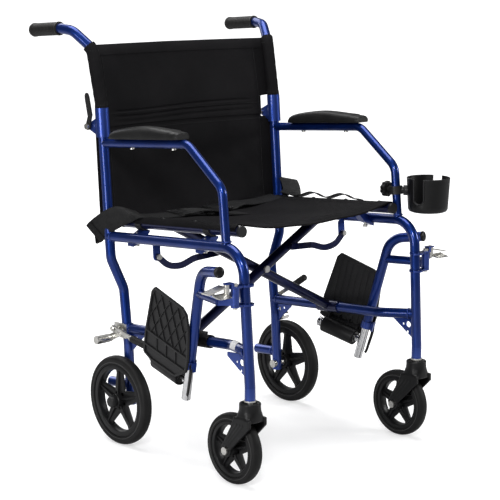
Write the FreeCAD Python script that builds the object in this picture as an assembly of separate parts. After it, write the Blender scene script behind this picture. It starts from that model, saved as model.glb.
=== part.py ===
import FreeCAD, Part
import math
import os

from FreeCAD import Vector

# A folding transport wheelchair, in millimetres. X points to the occupant's left, -Y is forward
# and Z is up. Sizes are taken from the floor under the rear axle, mid-way between the sides, and
# ORIGIN then moves the whole chair so that Y = 0 is the middle of its footprint.
ORIGIN = Vector(0, 99.0, 0)
SIDES = {"right": -1, "left": 1}

# Tubing
TUBE_R = 11.1
ARM_TUBE_R = 9.5
WALL = 1.5
RUN = 0.05

# Frame layout: the seat and both rails rise 4 degrees towards the front
PITCH = math.radians(4.0)
RAIL_X = 256.0
INNER_X = 225.0
SIDE_RAIL_Z = 467.3
LOWER_RAIL_Z = 257.8
SEAT_RAIL_Z = 495.8
FRONT_BEND_Y = -402.6
FRONT_POST_FOOT = (252.0, -420.0, 186.0)
CASTER_X = 252.0

# Cross brace: centre bolt between two tubes that lie one behind the other
BRACE_Y = -183.0
BRACE_STEP = 11.4
SLEEVE_R = 13.8
SLEEVE_LONG = 30.0
SLEEVE_SHORT = 34.0
SEAT_RAIL_FRONT = -362.0
SEAT_RAIL_REAR = 12.0
CENTRE_BOLT_R = 4.0
LINK_X = 241.0
LINK_UP = 171.0
LINK_DISTANCE = 168.0
LINK_Y = {"right": -130.0, "left": -210.5}
LINK_THICK = 4.0
TAB_THICK = 4.0

# Back
BACK_PIVOT = (79.0, 704.0)
CANE_SLOPE = math.atan2(16.0, 214.0)
POST_TOP_Z = 711.0
CANE_FOOT_Z = 714.0
CHANNEL_R = 15.3
CHANNEL_GAP = 11.7
CHANNEL_WALL = 2.3
CHANNEL_Z = (682.0, 745.0)
LEVER_STEP = 16.0
GRIP_R = 15.5
GRIP_START = (289.0, 150.0, 914.0)
GRIP_END = (291.0, 246.0, 908.0)
BACK_REST = math.radians(6.2)
BACK_HALF = 257.5
PANEL_THICK = 4.0

# Wheels
REAR_R = 100.0
REAR_X = 257.0
REAR_WIDTH = 25.0
CASTER_R = 75.0
CASTER_Y = -373.0
CASTER_WIDTH = 26.0
AXLE_R = 6.0
STEM_R = 6.0
FORK_TOP_Z = 182.0

# Swing-away footrest, in a frame of its own: out from the hinge pin, back from it, and up
PIN_X = 285.0
PIN_Y = -412.0
PIN_R = 5.0
RING_Z = (384.0, 423.0)
RING_THICK = 4.0
HANGER_OUT = 26.0
HANGER_TURN = {"right": 15.0, "left": 17.0}
EXTENSION_TURN = {"right": 14.0, "left": 3.0}
HANGER_LEAN = math.radians(15.3)
HANGER_BORE = 9.6
EXTENSION_R = 9.55
ROD_R = 8.0
BARREL_R = 19.5
BARREL_ROOT = (166.6, 194.0)
PLATE_OUT = 39.5
PLATE_THICK = 7.0

# Wheel lock: on the right it is off with its lever down, and on the left it is on with its lever up
LOCK_X = 240.0
LOCK_LEVER_PIVOT = (32.0, 256.0)
LOCK_SHOE_PIVOT = (8.0, 252.0)
LOCK_SHOE = (54.0, 230.0)
SHOE_R = 9.0
LEVER_REST = {"right": 42.0, "left": 0.0}
SHOE_REST = {"right": 0.0, "left": -39.85}

# Cup holder, on the left armrest
CUP_CENTRE = (302.7, -400.5)
CUP_BOTTOM_Z = 510.0
CUP_HEIGHT = 77.0
CUP_R = 48.5
CUP_WALL = 2.5
CUP_SLOTS = (194.0, 14.0)
CLAMP_Z = 557.5
KNOB_R = 18.0


# ---------------------------------------------------------------- building blocks

def bent_path(points, bends):
    """A wire through points, with an arc of the given radius at each inner point."""
    points = [Vector(*p) for p in points]
    edges = []
    start = points[0]
    for before, corner, after, radius in zip(points, points[1:], points[2:], bends):
        arrive = (corner - before).normalize()
        leave = (after - corner).normalize()
        turn = arrive.getAngle(leave)
        reach = radius * math.tan(turn / 2)
        arc_start = corner - arrive * reach
        arc_end = corner + leave * reach
        inward = (leave - arrive).normalize()
        middle = corner + inward * (radius / math.cos(turn / 2) - radius)
        edges.append(Part.makeLine(start, arc_start))
        edges.append(Part.Arc(arc_start, middle, arc_end).toShape())
        start = arc_end
    edges.append(Part.makeLine(start, points[-1]))
    return Part.Wire(edges)


def bent_bar(points, bends, radius):
    path = bent_path(points, bends)
    start = Vector(*points[0])
    along = Vector(*points[1]) - start
    ring = Part.Wire(Part.makeCircle(radius, start, along))
    return path.makePipeShell([ring], True, True)


def rod(start, end, radius):
    start = Vector(*start)
    along = Vector(*end) - start
    return Part.makeCylinder(radius, along.Length, start, along)


def ring_bar(start, end, outer, inner):
    return rod(start, end, outer).cut(rod(start, end, inner))


def plate_x(outline, x, thick):
    """A flat plate across X, from x outwards by thick. The outline is in Y and Z."""
    points = [Vector(x, y, z) for y, z in outline]
    face = Part.Face(Part.makePolygon(points + points[:1]))
    return face.extrude(Vector(thick, 0, 0))


def plate_y(outline, y, thick):
    points = [Vector(x, y, z) for x, z in outline]
    face = Part.Face(Part.makePolygon(points + points[:1]))
    return face.extrude(Vector(0, thick, 0))


def block(low, high):
    low, high = Vector(*low), Vector(*high)
    size = high - low
    return Part.makeBox(size.x, size.y, size.z, low)


def fuse(shapes):
    return shapes[0].multiFuse(shapes[1:]).removeSplitter() if len(shapes) > 1 else shapes[0]


def turned(shape, centre, axis, degrees):
    copy = shape.copy()
    copy.rotate(Vector(*centre), Vector(*axis), degrees)
    return copy


def moved(shape, offset):
    copy = shape.copy()
    copy.translate(Vector(*offset))
    return copy


def rail_z(height, y):
    """Height of a rail that rises forward at the seat's pitch, at y."""
    return height - y * math.tan(PITCH)


def post_y(z):
    """The middle of the lower cane, which leans back, at height z."""
    return 31.0 + (z - 455.0) * math.tan(CANE_SLOPE)


def chair_point(x, y, up):
    """A point at x, up above the lower rail along the seat's normal, in the slice that holds y."""
    return Vector(x, y + up * math.sin(PITCH), rail_z(LOWER_RAIL_Z, y) + up * math.cos(PITCH))


def slice_bar(start, end, slab_y, radius):
    """A bar across the chair: start and end are x and height over the lower rail."""
    return rod(chair_point(start[0], slab_y, start[1]), chair_point(end[0], slab_y, end[1]), radius)


# ---------------------------------------------------------------- side frames

def frame_tubes(side):
    """Paths, bends and radii of the five welded tubes of one side."""
    foot_x, foot_y, foot_z = FRONT_POST_FOOT
    arm_foot_y = -354.0
    post = [
        (INNER_X, 2, 84), (INNER_X, 10, 225), (INNER_X, 24, 345), (RAIL_X, post_y(415), 415),
        (RAIL_X, post_y(POST_TOP_Z), POST_TOP_Z),
    ]
    rail = [
        (RAIL_X, post_y(465), rail_z(SIDE_RAIL_Z, post_y(465))),
        (RAIL_X, FRONT_BEND_Y, rail_z(SIDE_RAIL_Z, FRONT_BEND_Y)),
        (foot_x, foot_y, foot_z + 28), (foot_x, foot_y, foot_z + 1),
    ]
    lower = [
        (INNER_X, 12, rail_z(LOWER_RAIL_Z, 12)), (INNER_X, -335, rail_z(LOWER_RAIL_Z, -335)),
        (254.5, -412, rail_z(LOWER_RAIL_Z, -412)),
    ]
    arm = [
        (RAIL_X, 47, 669), (RAIL_X, -235, 690), (RAIL_X, -342, 609),
        (RAIL_X, arm_foot_y, rail_z(SIDE_RAIL_Z, arm_foot_y)),
    ]
    stub = [(INNER_X, 5, 128), (INNER_X, 74, 123)]
    tubes = [
        (post, (150, 42, 42), TUBE_R), (rail, (55, 60), TUBE_R), (lower, (60,), TUBE_R),
        (arm, (36, 36), ARM_TUBE_R), (stub, (), TUBE_R),
    ]
    return [([(side * x, y, z) for x, y, z in path], bends, r) for path, bends, r in tubes]


def gusset(side, outline, holes, x):
    shape = plate_x(outline, side * x - 1.5, 3.0)
    for y, z, radius in holes:
        shape = shape.cut(rod((side * x - 5, y, z), (side * x + 5, y, z), radius))
    return shape


def hanger_ring(side, z):
    """A ring round the front post, with a lug out to the hinge pin and a short tab inboard."""
    low = (side * 254.5, PIN_Y, z - RING_THICK / 2)
    high = (side * 254.5, PIN_Y, z + RING_THICK / 2)
    ring = rod(low, high, 15.5)
    eye = rod((side * PIN_X, PIN_Y, low[2]), (side * PIN_X, PIN_Y, high[2]), 9.0)
    xs = sorted((side * 254.5, side * PIN_X))
    web = block((xs[0], PIN_Y - 7, low[2]), (xs[1], PIN_Y + 7, high[2]))
    tabs = sorted((side * 236.0, side * 250.0))
    tab = block((tabs[0], PIN_Y - 4, low[2] + 1), (tabs[1], PIN_Y + 4, high[2] - 1))
    return fuse([ring, eye, web, tab])


def saddle_arm(side, y):
    """A bracket from the side rail in to the saddle that carries the seat rail."""
    z = rail_z(SIDE_RAIL_Z, y)
    arm = plate_y([(side * x, z + dz) for x, dz in
                   ((258, -18), (228, -6), (212, 10), (212, 14), (230, 14), (258, 0))], y - 10, 20)
    return arm


def side_frame(side):
    tubes = frame_tubes(side)
    outside = [bent_bar(*tube) for tube in tubes]
    inside = [bent_bar(path, bends, r - WALL) for path, bends, r in tubes]
    rear_gusset = gusset(
        side, [(8, 196), (12, 249), (-46, 252), (-46, 247)],
        [(-6, 236, 5), (-22, 240, 3.2), (2, 220, 3.2)], INNER_X)
    front_gusset = gusset(
        side, [(-413, 228), (-411, 279), (-352, 275), (-352, 267)],
        [(-396, 260, 7), (-381, 259, 3), (-394, 243, 3)], 251.5)
    lug_y, lug_z = BACK_PIVOT
    lug = plate_x([(post_y(691) + 8, 691), (lug_y + 2, 698), (lug_y + 2, 710), (post_y(710) + 8, 710)],
                  side * RAIL_X - 2.5, 5)
    lug = lug.fuse(rod((side * RAIL_X - 2.5, lug_y, lug_z), (side * RAIL_X + 2.5, lug_y, lug_z), 7))
    saddles = [saddle_arm(side, y) for y in (-45, -270)]
    rings = [hanger_ring(side, z) for z in RING_Z]
    shape = fuse(outside + [rear_gusset, front_gusset, link_tab(side), lug] + saddles + rings)
    shape = shape.cut(fuse(inside))
    holes = [rod((side * PIN_X, PIN_Y, 370), (side * PIN_X, PIN_Y, 440), PIN_R)]
    holes.append(rod((side * 210, 0, REAR_R), (side * 300, 0, REAR_R), AXLE_R))
    holes.append(rod((side * 230, lug_y, lug_z), (side * 280, lug_y, lug_z), 4.0))
    holes.append(link_rod(side, LINK_X, LINK_UP, (-20, 20), 4.0))
    holes += [screw_shank(side, y) for y in ARM_SCREWS]
    for y in (-45, -270):
        holes.append(seat_rail_space(side, y))
        holes.append(rod((side * 240, y, 400), (side * 240, y, 520), 3.0))
    return shape.cut(fuse(holes))


def in_slice(shape, y):
    """Tilt a shape drawn with the seat's normal as Z into the seat's pitch, in the slice that holds y."""
    placed = shape.copy()
    placed.rotate(Vector(0, 0, 0), Vector(1, 0, 0), -math.degrees(PITCH))
    placed.translate(Vector(0, y, rail_z(LOWER_RAIL_Z, y)))
    return placed


def link_rod(side, x, up, depths, radius):
    """A rod square to the link's slice, between two depths behind its middle."""
    low, high = depths
    return in_slice(rod((side * x, low, up), (side * x, high, up), radius), LINK_Y[side_name(side)])


def link_tab(side):
    """The tab under the side rail that the link hangs from."""
    low = LINK_THICK / 2 + 0.4
    x_in, x_out = LINK_X - 9, LINK_X + 9
    tab = plate_y([(side * x_in, LINK_UP + 2), (side * x_in, LINK_UP + 26), (side * x_out, LINK_UP + 42),
                   (side * x_out, LINK_UP)], low, TAB_THICK)
    boss = rod((side * LINK_X, low, LINK_UP), (side * LINK_X, low + TAB_THICK, LINK_UP), 9)
    return in_slice(tab.fuse(boss), LINK_Y[side_name(side)])


def side_name(side):
    return "left" if side > 0 else "right"


def seat_rail_space(side, y):
    z = rail_z(SEAT_RAIL_Z, y)
    rise = 16 * math.tan(PITCH)
    return rod((side * INNER_X, y + 16, z - rise), (side * INNER_X, y - 16, z + rise), 14.6)


def saddle(side, y):
    """A black plastic cradle under the seat rail."""
    z = rail_z(SEAT_RAIL_Z, y)
    rise = 9 * math.tan(PITCH)
    ends = (side * INNER_X, y + 9, z - rise), (side * INNER_X, y - 9, z + rise)
    shell = ring_bar(*ends, 14.5, TUBE_R + 0.4)
    lower_half = block((side * INNER_X - 20, y - 12, z - 20), (side * INNER_X + 20, y + 12, z + 1))
    return shell.common(lower_half)


ARM_SCREWS = (-52.0, -190.0)
PAD_LENGTH = 227.0
PAD_CENTRE = {"right": -112.0, "left": -128.0}
ARM_PITCH = math.atan2(21.0, 282.0)


def arm_point(y, lift):
    """A point over the armrest tube at y, lift above its middle, square to the tube."""
    z = 669 + (47 - y) * math.tan(ARM_PITCH)
    return y + lift * math.sin(ARM_PITCH), z + lift * math.cos(ARM_PITCH)


def screw_shank(side, y):
    low, high = arm_point(y, -ARM_TUBE_R), arm_point(y, ARM_TUBE_R + 16)
    return rod((side * RAIL_X, *low), (side * RAIL_X, *high), 2.5)


def arm_pad(side):
    width, thick = 44.0, 28.0
    pad = Part.makeBox(width, PAD_LENGTH, thick, Vector(-width / 2, -PAD_LENGTH / 2, 0))
    pad = pad.makeFillet(9.0, [e for e in pad.Edges if e.BoundBox.ZMin > thick - 1])
    y, z = arm_point(PAD_CENTRE[side_name(side)], ARM_TUBE_R + 0.2)
    pad.rotate(Vector(0, 0, 0), Vector(1, 0, 0), -math.degrees(ARM_PITCH))
    pad.translate(Vector(side * (RAIL_X + 3), y, z))
    for screw_y in ARM_SCREWS:
        pad = pad.cut(screw_shank(side, screw_y))
    return pad


def arm_screws(side):
    screws = []
    for y in ARM_SCREWS:
        low, high = arm_point(y, -ARM_TUBE_R - 3), arm_point(y, -ARM_TUBE_R)
        head = rod((side * RAIL_X, *low), (side * RAIL_X, *high), 5.0).cut(
            bent_bar([(side * RAIL_X, 47, 669), (side * RAIL_X, -235, 690)], (), ARM_TUBE_R))
        screws.append(head.fuse(screw_shank(side, y)).removeSplitter())
    return screws


def lock_plate(side):
    """A steel plate on the outside of the rear post, which carries both lock pivots."""
    x = side * (INNER_X + TUBE_R + 0.1)
    out = side * 3.0
    plate = plate_x([(0, 236), (0, 268), (42, 268), (42, 244), (20, 236)], x, out)
    for pivot, reach in ((LOCK_LEVER_PIVOT, 12.5), (LOCK_SHOE_PIVOT, 6.0)):
        pin = rod((x + out / 2, *pivot), (side * (LOCK_X + reach), *pivot), 4.0)
        plate = plate.fuse(pin)
    return plate.removeSplitter()


def hardware(side):
    """The steel fittings that are fixed to one side frame."""
    pin = rod((side * PIN_X, PIN_Y, RING_Z[0] - 6), (side * PIN_X, PIN_Y, RING_Z[1] + 4), PIN_R)
    head = rod((side * PIN_X, PIN_Y, RING_Z[1] + 3), (side * PIN_X, PIN_Y, RING_Z[1] + 7), 5.8)
    hinge_pin = fuse([pin, head])
    axle = rod((side * 211, 0, REAR_R), (side * 280, 0, REAR_R), AXLE_R)
    nut = rod((side * 207, 0, REAR_R), (side * 213.8, 0, REAR_R), 9.5)
    cap = rod((side * 277, 0, REAR_R), (side * 283, 0, REAR_R), 9.5)
    spacer = ring_bar((side * 236.2, 0, REAR_R), (side * 239.5, 0, REAR_R), 9.0, AXLE_R)
    rear_axle = fuse([axle, nut, cap])
    foot_x, foot_y, foot_z = FRONT_POST_FOOT
    bush = rod((side * foot_x, foot_y, foot_z), (side * foot_x, foot_y, foot_z + 24), TUBE_R - WALL)
    flange = rod((side * foot_x, foot_y, foot_z - 2), (side * foot_x, foot_y, foot_z + 1), 12.5)
    bore = rod((side * foot_x, foot_y, foot_z - 5), (side * foot_x, foot_y, foot_z + 30), STEM_R + RUN)
    bearing = fuse([bush, flange]).cut(bore)
    back_bolt = rod((side * (RAIL_X - 18), *BACK_PIVOT), (side * (RAIL_X + 22), *BACK_PIVOT), 4.0)
    heads = [rod((side * (RAIL_X + low), *BACK_PIVOT), (side * (RAIL_X + low + 4), *BACK_PIVOT), 6.5)
             for low in (-18.5, LEVER_STEP + 3.7)]
    fittings = [hinge_pin, rear_axle, spacer, bearing, fuse([back_bolt] + heads)]
    fittings += [saddle_bolt(side, y) for y in (-45, -270)]
    return fittings


def saddle_bolt(side, y):
    z = rail_z(SIDE_RAIL_Z, y)
    shank = rod((side * 240, y, z - 15), (side * 240, y, z + 12), 3.0)
    head = rod((side * 240, y, z - 19), (side * 240, y, z - 14.2), 5.5)
    return fuse([shank, head])


def straps(side):
    """The lap belt's anchor behind the rear post and, on the right, a tie round the lower rail."""
    y = post_y(497) + TUBE_R + 0.6
    xs = sorted((side * 238, side * 272))
    shapes = [block((xs[0], y, 455), (xs[1], y + 4, 497))]
    if side < 0:
        rise = 42 * math.tan(PITCH)
        z = rail_z(LOWER_RAIL_Z, -228)
        shapes.append(ring_bar((-INNER_X, -228, z), (-INNER_X, -270, z + rise), TUBE_R + 2.4, TUBE_R + 0.1))
    return shapes


# ---------------------------------------------------------------- cross brace, seat rails and links

BRACE_RISE = (SEAT_RAIL_Z - LOWER_RAIL_Z) * math.cos(PITCH)
BRACE_LENGTH = math.hypot(2 * INNER_X, BRACE_RISE)
BRACE_ANGLE = math.atan2(BRACE_RISE, 2 * INNER_X)


def rail_bar(side, y_rear, y_front, height, radius):
    return rod((side * INNER_X, y_rear, rail_z(height, y_rear)),
               (side * INNER_X, y_front, rail_z(height, y_front)), radius)


def brace(low_side):
    """One brace: its sleeve turns on the lower rail of one side and it carries the other seat rail."""
    in_front = low_side < 0
    slab = BRACE_Y - BRACE_STEP if in_front else BRACE_Y + BRACE_STEP
    low, high = (low_side * INNER_X, 0), (-low_side * INNER_X, BRACE_RISE)
    outside = slice_bar(low, high, slab, TUBE_R)
    inside = slice_bar(low, high, slab, TUBE_R - WALL)
    long_end = -1 if in_front else 1
    y_ends = slab + long_end * SLEEVE_LONG, slab - long_end * SLEEVE_SHORT
    sleeve = rail_bar(low_side, *y_ends, LOWER_RAIL_Z, SLEEVE_R)
    bore_ends = y_ends[0] + long_end * 30, y_ends[1] - long_end * 30
    bore = rail_bar(low_side, *bore_ends, LOWER_RAIL_Z, TUBE_R + RUN)
    seat = rail_bar(-low_side, SEAT_RAIL_REAR, SEAT_RAIL_FRONT, SEAT_RAIL_Z, TUBE_R)
    seat_bore = rail_bar(-low_side, SEAT_RAIL_REAR + 1, SEAT_RAIL_FRONT - 1, SEAT_RAIL_Z, TUBE_R - WALL)
    shape = fuse([outside, sleeve, seat]).cut(fuse([inside, bore, seat_bore]))
    bolt_r = CENTRE_BOLT_R if in_front else CENTRE_BOLT_R + RUN
    centre = centre_bolt_ends()
    return shape.cut(rod(*centre, bolt_r))


def centre_bolt_ends():
    middle = chair_point(0, BRACE_Y, BRACE_RISE / 2)
    along = Vector(0, math.cos(PITCH), -math.sin(PITCH))
    return middle - along * 28, middle + along * 27


def centre_bolt():
    front, rear = centre_bolt_ends()
    along = (rear - front).normalize()
    head = rod(front, front + along * 4.8, 7.5)
    nut = rod(rear - along * 3.5, rear, 7.0)
    return fuse([rod(front, rear, CENTRE_BOLT_R), head, nut])


def rail_caps(side):
    caps = []
    for y, out in ((SEAT_RAIL_FRONT, -1), (SEAT_RAIL_REAR, 1)):
        plug = rail_bar(side, y, y - out * 12, SEAT_RAIL_Z, TUBE_R - WALL)
        knob = rail_bar(side, y, y + out * 7, SEAT_RAIL_Z, TUBE_R + 0.6)
        caps.append(fuse([plug, knob]))
    return caps


def link(side):
    """The curved flat bar from the side frame's tab to the brace, with the stub it turns on."""
    upper = BRACE_LENGTH - LINK_DISTANCE
    inner_x = upper * math.cos(BRACE_ANGLE) - INNER_X
    inner_up = upper * math.sin(BRACE_ANGLE)
    outline = [(LINK_X, LINK_UP), (LINK_X - 26, LINK_UP - 23), (LINK_X - 62, LINK_UP - 27),
               (LINK_X - 100, LINK_UP - 15), (inner_x, inner_up)]
    path = bent_path([(side * x, 0, up) for x, up in outline], (50, 60, 60))
    half = 7.0
    along = Vector(*[side * (outline[1][0] - outline[0][0]), 0, outline[1][1] - outline[0][1]]).normalize()
    across = Vector(along.z, 0, -along.x) * half
    deep = Vector(0, LINK_THICK / 2, 0)
    start = Vector(side * LINK_X, 0, LINK_UP)
    corners = [start + across + deep, start + across - deep, start - across - deep, start - across + deep]
    bar = path.makePipeShell([Part.makePolygon(corners + corners[:1])], True, True)
    face_y = LINK_THICK / 2
    ends = [rod((side * x, -face_y, up), (side * x, face_y, up), half)
            for x, up in (outline[0], outline[-1])]
    bar = bar.fuse(ends[0]).fuse(ends[1])
    bar = bar.cut(rod((side * LINK_X, -9, LINK_UP), (side * LINK_X, 9, LINK_UP), 4.0 + RUN))
    stub = rod((side * inner_x, -face_y - 4, inner_up), (side * inner_x, 1 - face_y, inner_up), 6.0)
    return in_slice(bar.fuse(stub).removeSplitter(), LINK_Y[side_name(side)])


def link_bolt(side):
    shank = link_rod(side, LINK_X, LINK_UP, (-3, 10), 4.0)
    head = link_rod(side, LINK_X, LINK_UP, (-6.5, -2.3), 6.0)
    return fuse([shank, head])


SEAT_SAG = 16.0
SEAT_FLAT = 8.0
SEAT_GAP = 2.0


def seat_underside(x, y):
    """The height of the sling's underside: flat over the seat rail, then down to the middle."""
    run = INNER_X - SEAT_FLAT - SEAT_GAP
    fall = SEAT_SAG * max(0.0, INNER_X - SEAT_FLAT - x) / run
    return rail_z(SEAT_RAIL_Z, y) + TUBE_R + 1.0 - fall


def sheet_strip(side, xs, y_rear, y_front, lift, thick):
    """A strip of cloth on one half of the seat, over the given places out from the middle."""
    low = [(side * x, seat_underside(x, y_rear) + lift) for x in xs]
    outline = low + [(x, z + thick) for x, z in reversed(low)]
    points = [Vector(x, y_rear, z) for x, z in outline]
    run = y_front - y_rear
    return Part.Face(Part.makePolygon(points + points[:1])).extrude(Vector(0, run, -run * math.tan(PITCH)))


def seat_half(side):
    """Half of the seat sling, from its rail down to the low middle."""
    return sheet_strip(side, (SEAT_GAP, INNER_X - SEAT_FLAT, INNER_X + 6), 8.0, -358.0, 0, PANEL_THICK)


def lap_belt(side):
    """The belt webbing that lies on one half of the seat."""
    return sheet_strip(side, (118, INNER_X - SEAT_FLAT, INNER_X + 4), -40.0, -90.0, PANEL_THICK + 0.4, 2.5)


# ---------------------------------------------------------------- back

def cane(side):
    """The upper cane, with the open-backed channel that grips the lower cane when the back is up."""
    foot = (side * RAIL_X, post_y(CANE_FOOT_Z), CANE_FOOT_Z)
    path = [foot, (side * RAIL_X, post_y(752), 752), (side * 260, 77, 872), (side * 282, 117, 910),
            (side * GRIP_START[0], *GRIP_START[1:]), (side * GRIP_END[0], *GRIP_END[1:])]
    bends = (90, 40, 35, 60)
    tube = bent_bar(path, bends, TUBE_R).cut(bent_bar(path, bends, TUBE_R - WALL))
    ears = [ear(side * RAIL_X + low) for low in (-CHANNEL_GAP - CHANNEL_WALL, CHANNEL_GAP)]
    seat = ring_bar((side * RAIL_X, post_y(724), 724), (side * RAIL_X, post_y(742), 742), CHANNEL_GAP + 0.6,
                    TUBE_R - 0.2)
    shape = fuse([tube, channel(side), seat] + ears)
    return shape.cut(rod((side * RAIL_X - 20, *BACK_PIVOT), (side * RAIL_X + 20, *BACK_PIVOT), 4.0 + RUN))


def channel(side):
    """A round sleeve with its rear side open, so that it can leave the lower cane forwards."""
    half = (CHANNEL_Z[1] - CHANNEL_Z[0]) / 2
    middle_z = (CHANNEL_Z[1] + CHANNEL_Z[0]) / 2
    sleeve = ring_bar((0, 0, -half), (0, 0, half), CHANNEL_R, CHANNEL_GAP)
    sleeve = sleeve.cut(block((-CHANNEL_GAP, 0, -half - 1), (CHANNEL_GAP, 20, half + 1)))
    sleeve = sleeve.cut(block((-20, 7, -half - 1), (20, 20, half + 1)))
    sleeve.rotate(Vector(0, 0, 0), Vector(1, 0, 0), -math.degrees(CANE_SLOPE))
    sleeve.translate(Vector(side * RAIL_X, post_y(middle_z), middle_z))
    return sleeve


def ear(x):
    """A cheek from the channel's edge back to the pivot."""
    y, z = BACK_PIVOT
    start = post_y(z) + 4.5
    outline = [(start, z - 17), (y + 1, z - 7), (y + 1, z + 7), (start + 1.5, z + 19)]
    cheek = plate_x(outline, x, CHANNEL_WALL)
    return cheek.fuse(rod((x, y, z), (x + CHANNEL_WALL, y, z), 7.2))


def grip(side):
    start = Vector(side * GRIP_START[0], *GRIP_START[1:])
    end = Vector(side * GRIP_END[0], *GRIP_END[1:])
    along = (end - start).normalize()
    sleeve = rod(start + along * 4, end + along * 4, GRIP_R)
    return sleeve.cut(rod(start, end, TUBE_R))


def back_lever(side):
    """The release lever on the back's pivot bolt, outside the channel."""
    x = side * (RAIL_X + LEVER_STEP)
    out = side * 3.4
    y, z = BACK_PIVOT
    hub = rod((x, y, z), (x + out, y, z), 8.0)
    outline = [(-6, -3), (7, 2), (-1, 22), (8, 58), (9, 67), (5, 73), (-1, 72), (-5, 65), (-15, 26)]
    blade = plate_x([(y + dy, z + dz) for dy, dz in outline], x, out)
    shape = fuse([hub, blade])
    return shape.cut(rod((x - out, y, z), (x + 2 * out, y, z), 4.0 + RUN))


# Outer edges of the back panels: how far inboard of the hinge line, and the height. They step in
# round the channel and its pivot, and at the top where the canes bend backwards.
LOW_EDGE = ((0.0, 500.0), (0.0, 672.0), (22.0, 672.0), (22.0, 704.0))
HIGH_EDGE = ((22.0, 706.0), (22.0, 746.0), (15.0, 746.0), (15.0, 842.0), (25.0, 850.0), (25.0, 877.0))


def back_half(side, edge):
    """Half of a back panel, hinged at the cane's line and meeting the other half 28 mm behind."""
    inner = BACK_HALF - 2.0
    z_low, z_high = edge[0][1], edge[-1][1]
    outline = list(edge) + [(inner, z_high), (inner, z_low)]
    panel = plate_y([(x, z - z_low) for x, z in outline], TUBE_R + 3, PANEL_THICK)
    if side > 0:
        panel = panel.mirror(Vector(0, 0, 0), Vector(1, 0, 0))
    panel.rotate(Vector(0, 0, 0), Vector(0, 0, 1), -side * math.degrees(BACK_REST))
    panel.rotate(Vector(0, 0, 0), Vector(1, 0, 0), -math.degrees(CANE_SLOPE))
    panel.translate(Vector(side * RAIL_X, post_y(z_low), z_low))
    return panel


# ---------------------------------------------------------------- wheels

def wheel(radius, width, rim_out, rim_in, hub_r, hub_width):
    """A wheel about X at the origin: a tyre, and a rim with a hub and five tapered spokes."""
    tyre = ring_bar((-width / 2, 0, 0), (width / 2, 0, 0), radius, rim_out)
    outer = [e for e in tyre.Edges if abs(e.BoundBox.ZMax - radius) < 0.1 and e.BoundBox.XLength < 1]
    tyre = tyre.makeFillet(width * 0.36, outer)
    half = width / 2 - 2.5
    shapes = [ring_bar((-half, 0, 0), (half, 0, 0), rim_out, rim_in)]
    shapes.append(rod((-hub_width / 2, 0, 0), (hub_width / 2, 0, 0), hub_r))
    for number in range(5):
        wide, narrow = hub_r * 0.62, hub_r * 0.40
        spoke = plate_x([(-wide, 0), (wide, 0), (narrow, rim_in + 2), (-narrow, rim_in + 2)], -6.0, 12.0)
        shapes.append(turned(spoke, (0, 0, 0), (1, 0, 0), number * 72.0))
    rim = fuse(shapes).cut(rod((-40, 0, 0), (40, 0, 0), AXLE_R + RUN))
    return rim, tyre


def caster_fork(side):
    """The fork with its stem, crown and two legs down to the axle."""
    x, y = side * CASTER_X, FRONT_POST_FOOT[1]
    stem = rod((x, y, FORK_TOP_Z - 4), (x, y, FORK_TOP_Z + 26), STEM_R)
    housing = rod((x, y, FORK_TOP_Z - 14), (x, y, FORK_TOP_Z), 22.5)
    crown = block((x - 25.5, y - 23, FORK_TOP_Z - 26), (x + 25.5, y + 24, FORK_TOP_Z - 13))
    crown = crown.makeFillet(9.0, [e for e in crown.Edges if e.BoundBox.ZLength > 5])
    legs = []
    outline = [(y - 19, FORK_TOP_Z - 20), (y + 23, FORK_TOP_Z - 20), (CASTER_Y + 14, CASTER_R + 8),
               (CASTER_Y + 10, CASTER_R - 9), (CASTER_Y - 8, CASTER_R - 12), (CASTER_Y - 15, CASTER_R + 2),
               (y - 13, CASTER_R + 58)]
    for low in (-25.5, 17.5):
        legs.append(plate_x(outline, x + low, 8.0))
        legs.append(rod((x + low, CASTER_Y, CASTER_R), (x + low + 8, CASTER_Y, CASTER_R), 14.0))
    shape = fuse([stem, housing, crown] + legs)
    return shape.cut(rod((x - 40, CASTER_Y, CASTER_R), (x + 40, CASTER_Y, CASTER_R), AXLE_R - 1))


def caster_axle(side):
    x = side * CASTER_X
    shank = rod((x - 27, CASTER_Y, CASTER_R), (x + 27, CASTER_Y, CASTER_R), AXLE_R - 1)
    head = rod((x - 30, CASTER_Y, CASTER_R), (x - 25.5, CASTER_Y, CASTER_R), 8.0)
    nut = rod((x + 25.5, CASTER_Y, CASTER_R), (x + 30, CASTER_Y, CASTER_R), 8.0)
    sleeve = rod((x - 17.4, CASTER_Y, CASTER_R), (x + 17.4, CASTER_Y, CASTER_R), AXLE_R)
    return fuse([shank, head, nut, sleeve])


# ---------------------------------------------------------------- footrests

def hanger_place(side, shape):
    """Move a shape from the footrest's own frame (out, back, up) to its place on the chair."""
    placed = shape.copy()
    placed.rotate(Vector(0, 0, 0), Vector(0, 0, 1), HANGER_TURN[side_name(side)])
    if side < 0:
        placed = placed.mirror(Vector(0, 0, 0), Vector(1, 0, 0))
    placed.translate(Vector(side * PIN_X, PIN_Y, 0))
    return placed


def turned_extension(side, shape):
    """The extension and footplate turn a little in the hanger, about the chrome tube."""
    foot = Vector(HANGER_OUT, *along_hanger(0, 0))
    axis = Vector(0, -math.sin(HANGER_LEAN), math.cos(HANGER_LEAN))
    return hanger_place(side, turned(shape, foot, axis, -EXTENSION_TURN[side_name(side)]))


def along_hanger(forward, up):
    """A point in the footplate's plane: forward along the barrel and up along the hanger tube."""
    lean_sin, lean_cos = math.sin(HANGER_LEAN), math.cos(HANGER_LEAN)
    back = BARREL_ROOT[0] + forward * lean_cos - up * lean_sin
    return back, BARREL_ROOT[1] + forward * lean_sin + up * lean_cos


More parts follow.
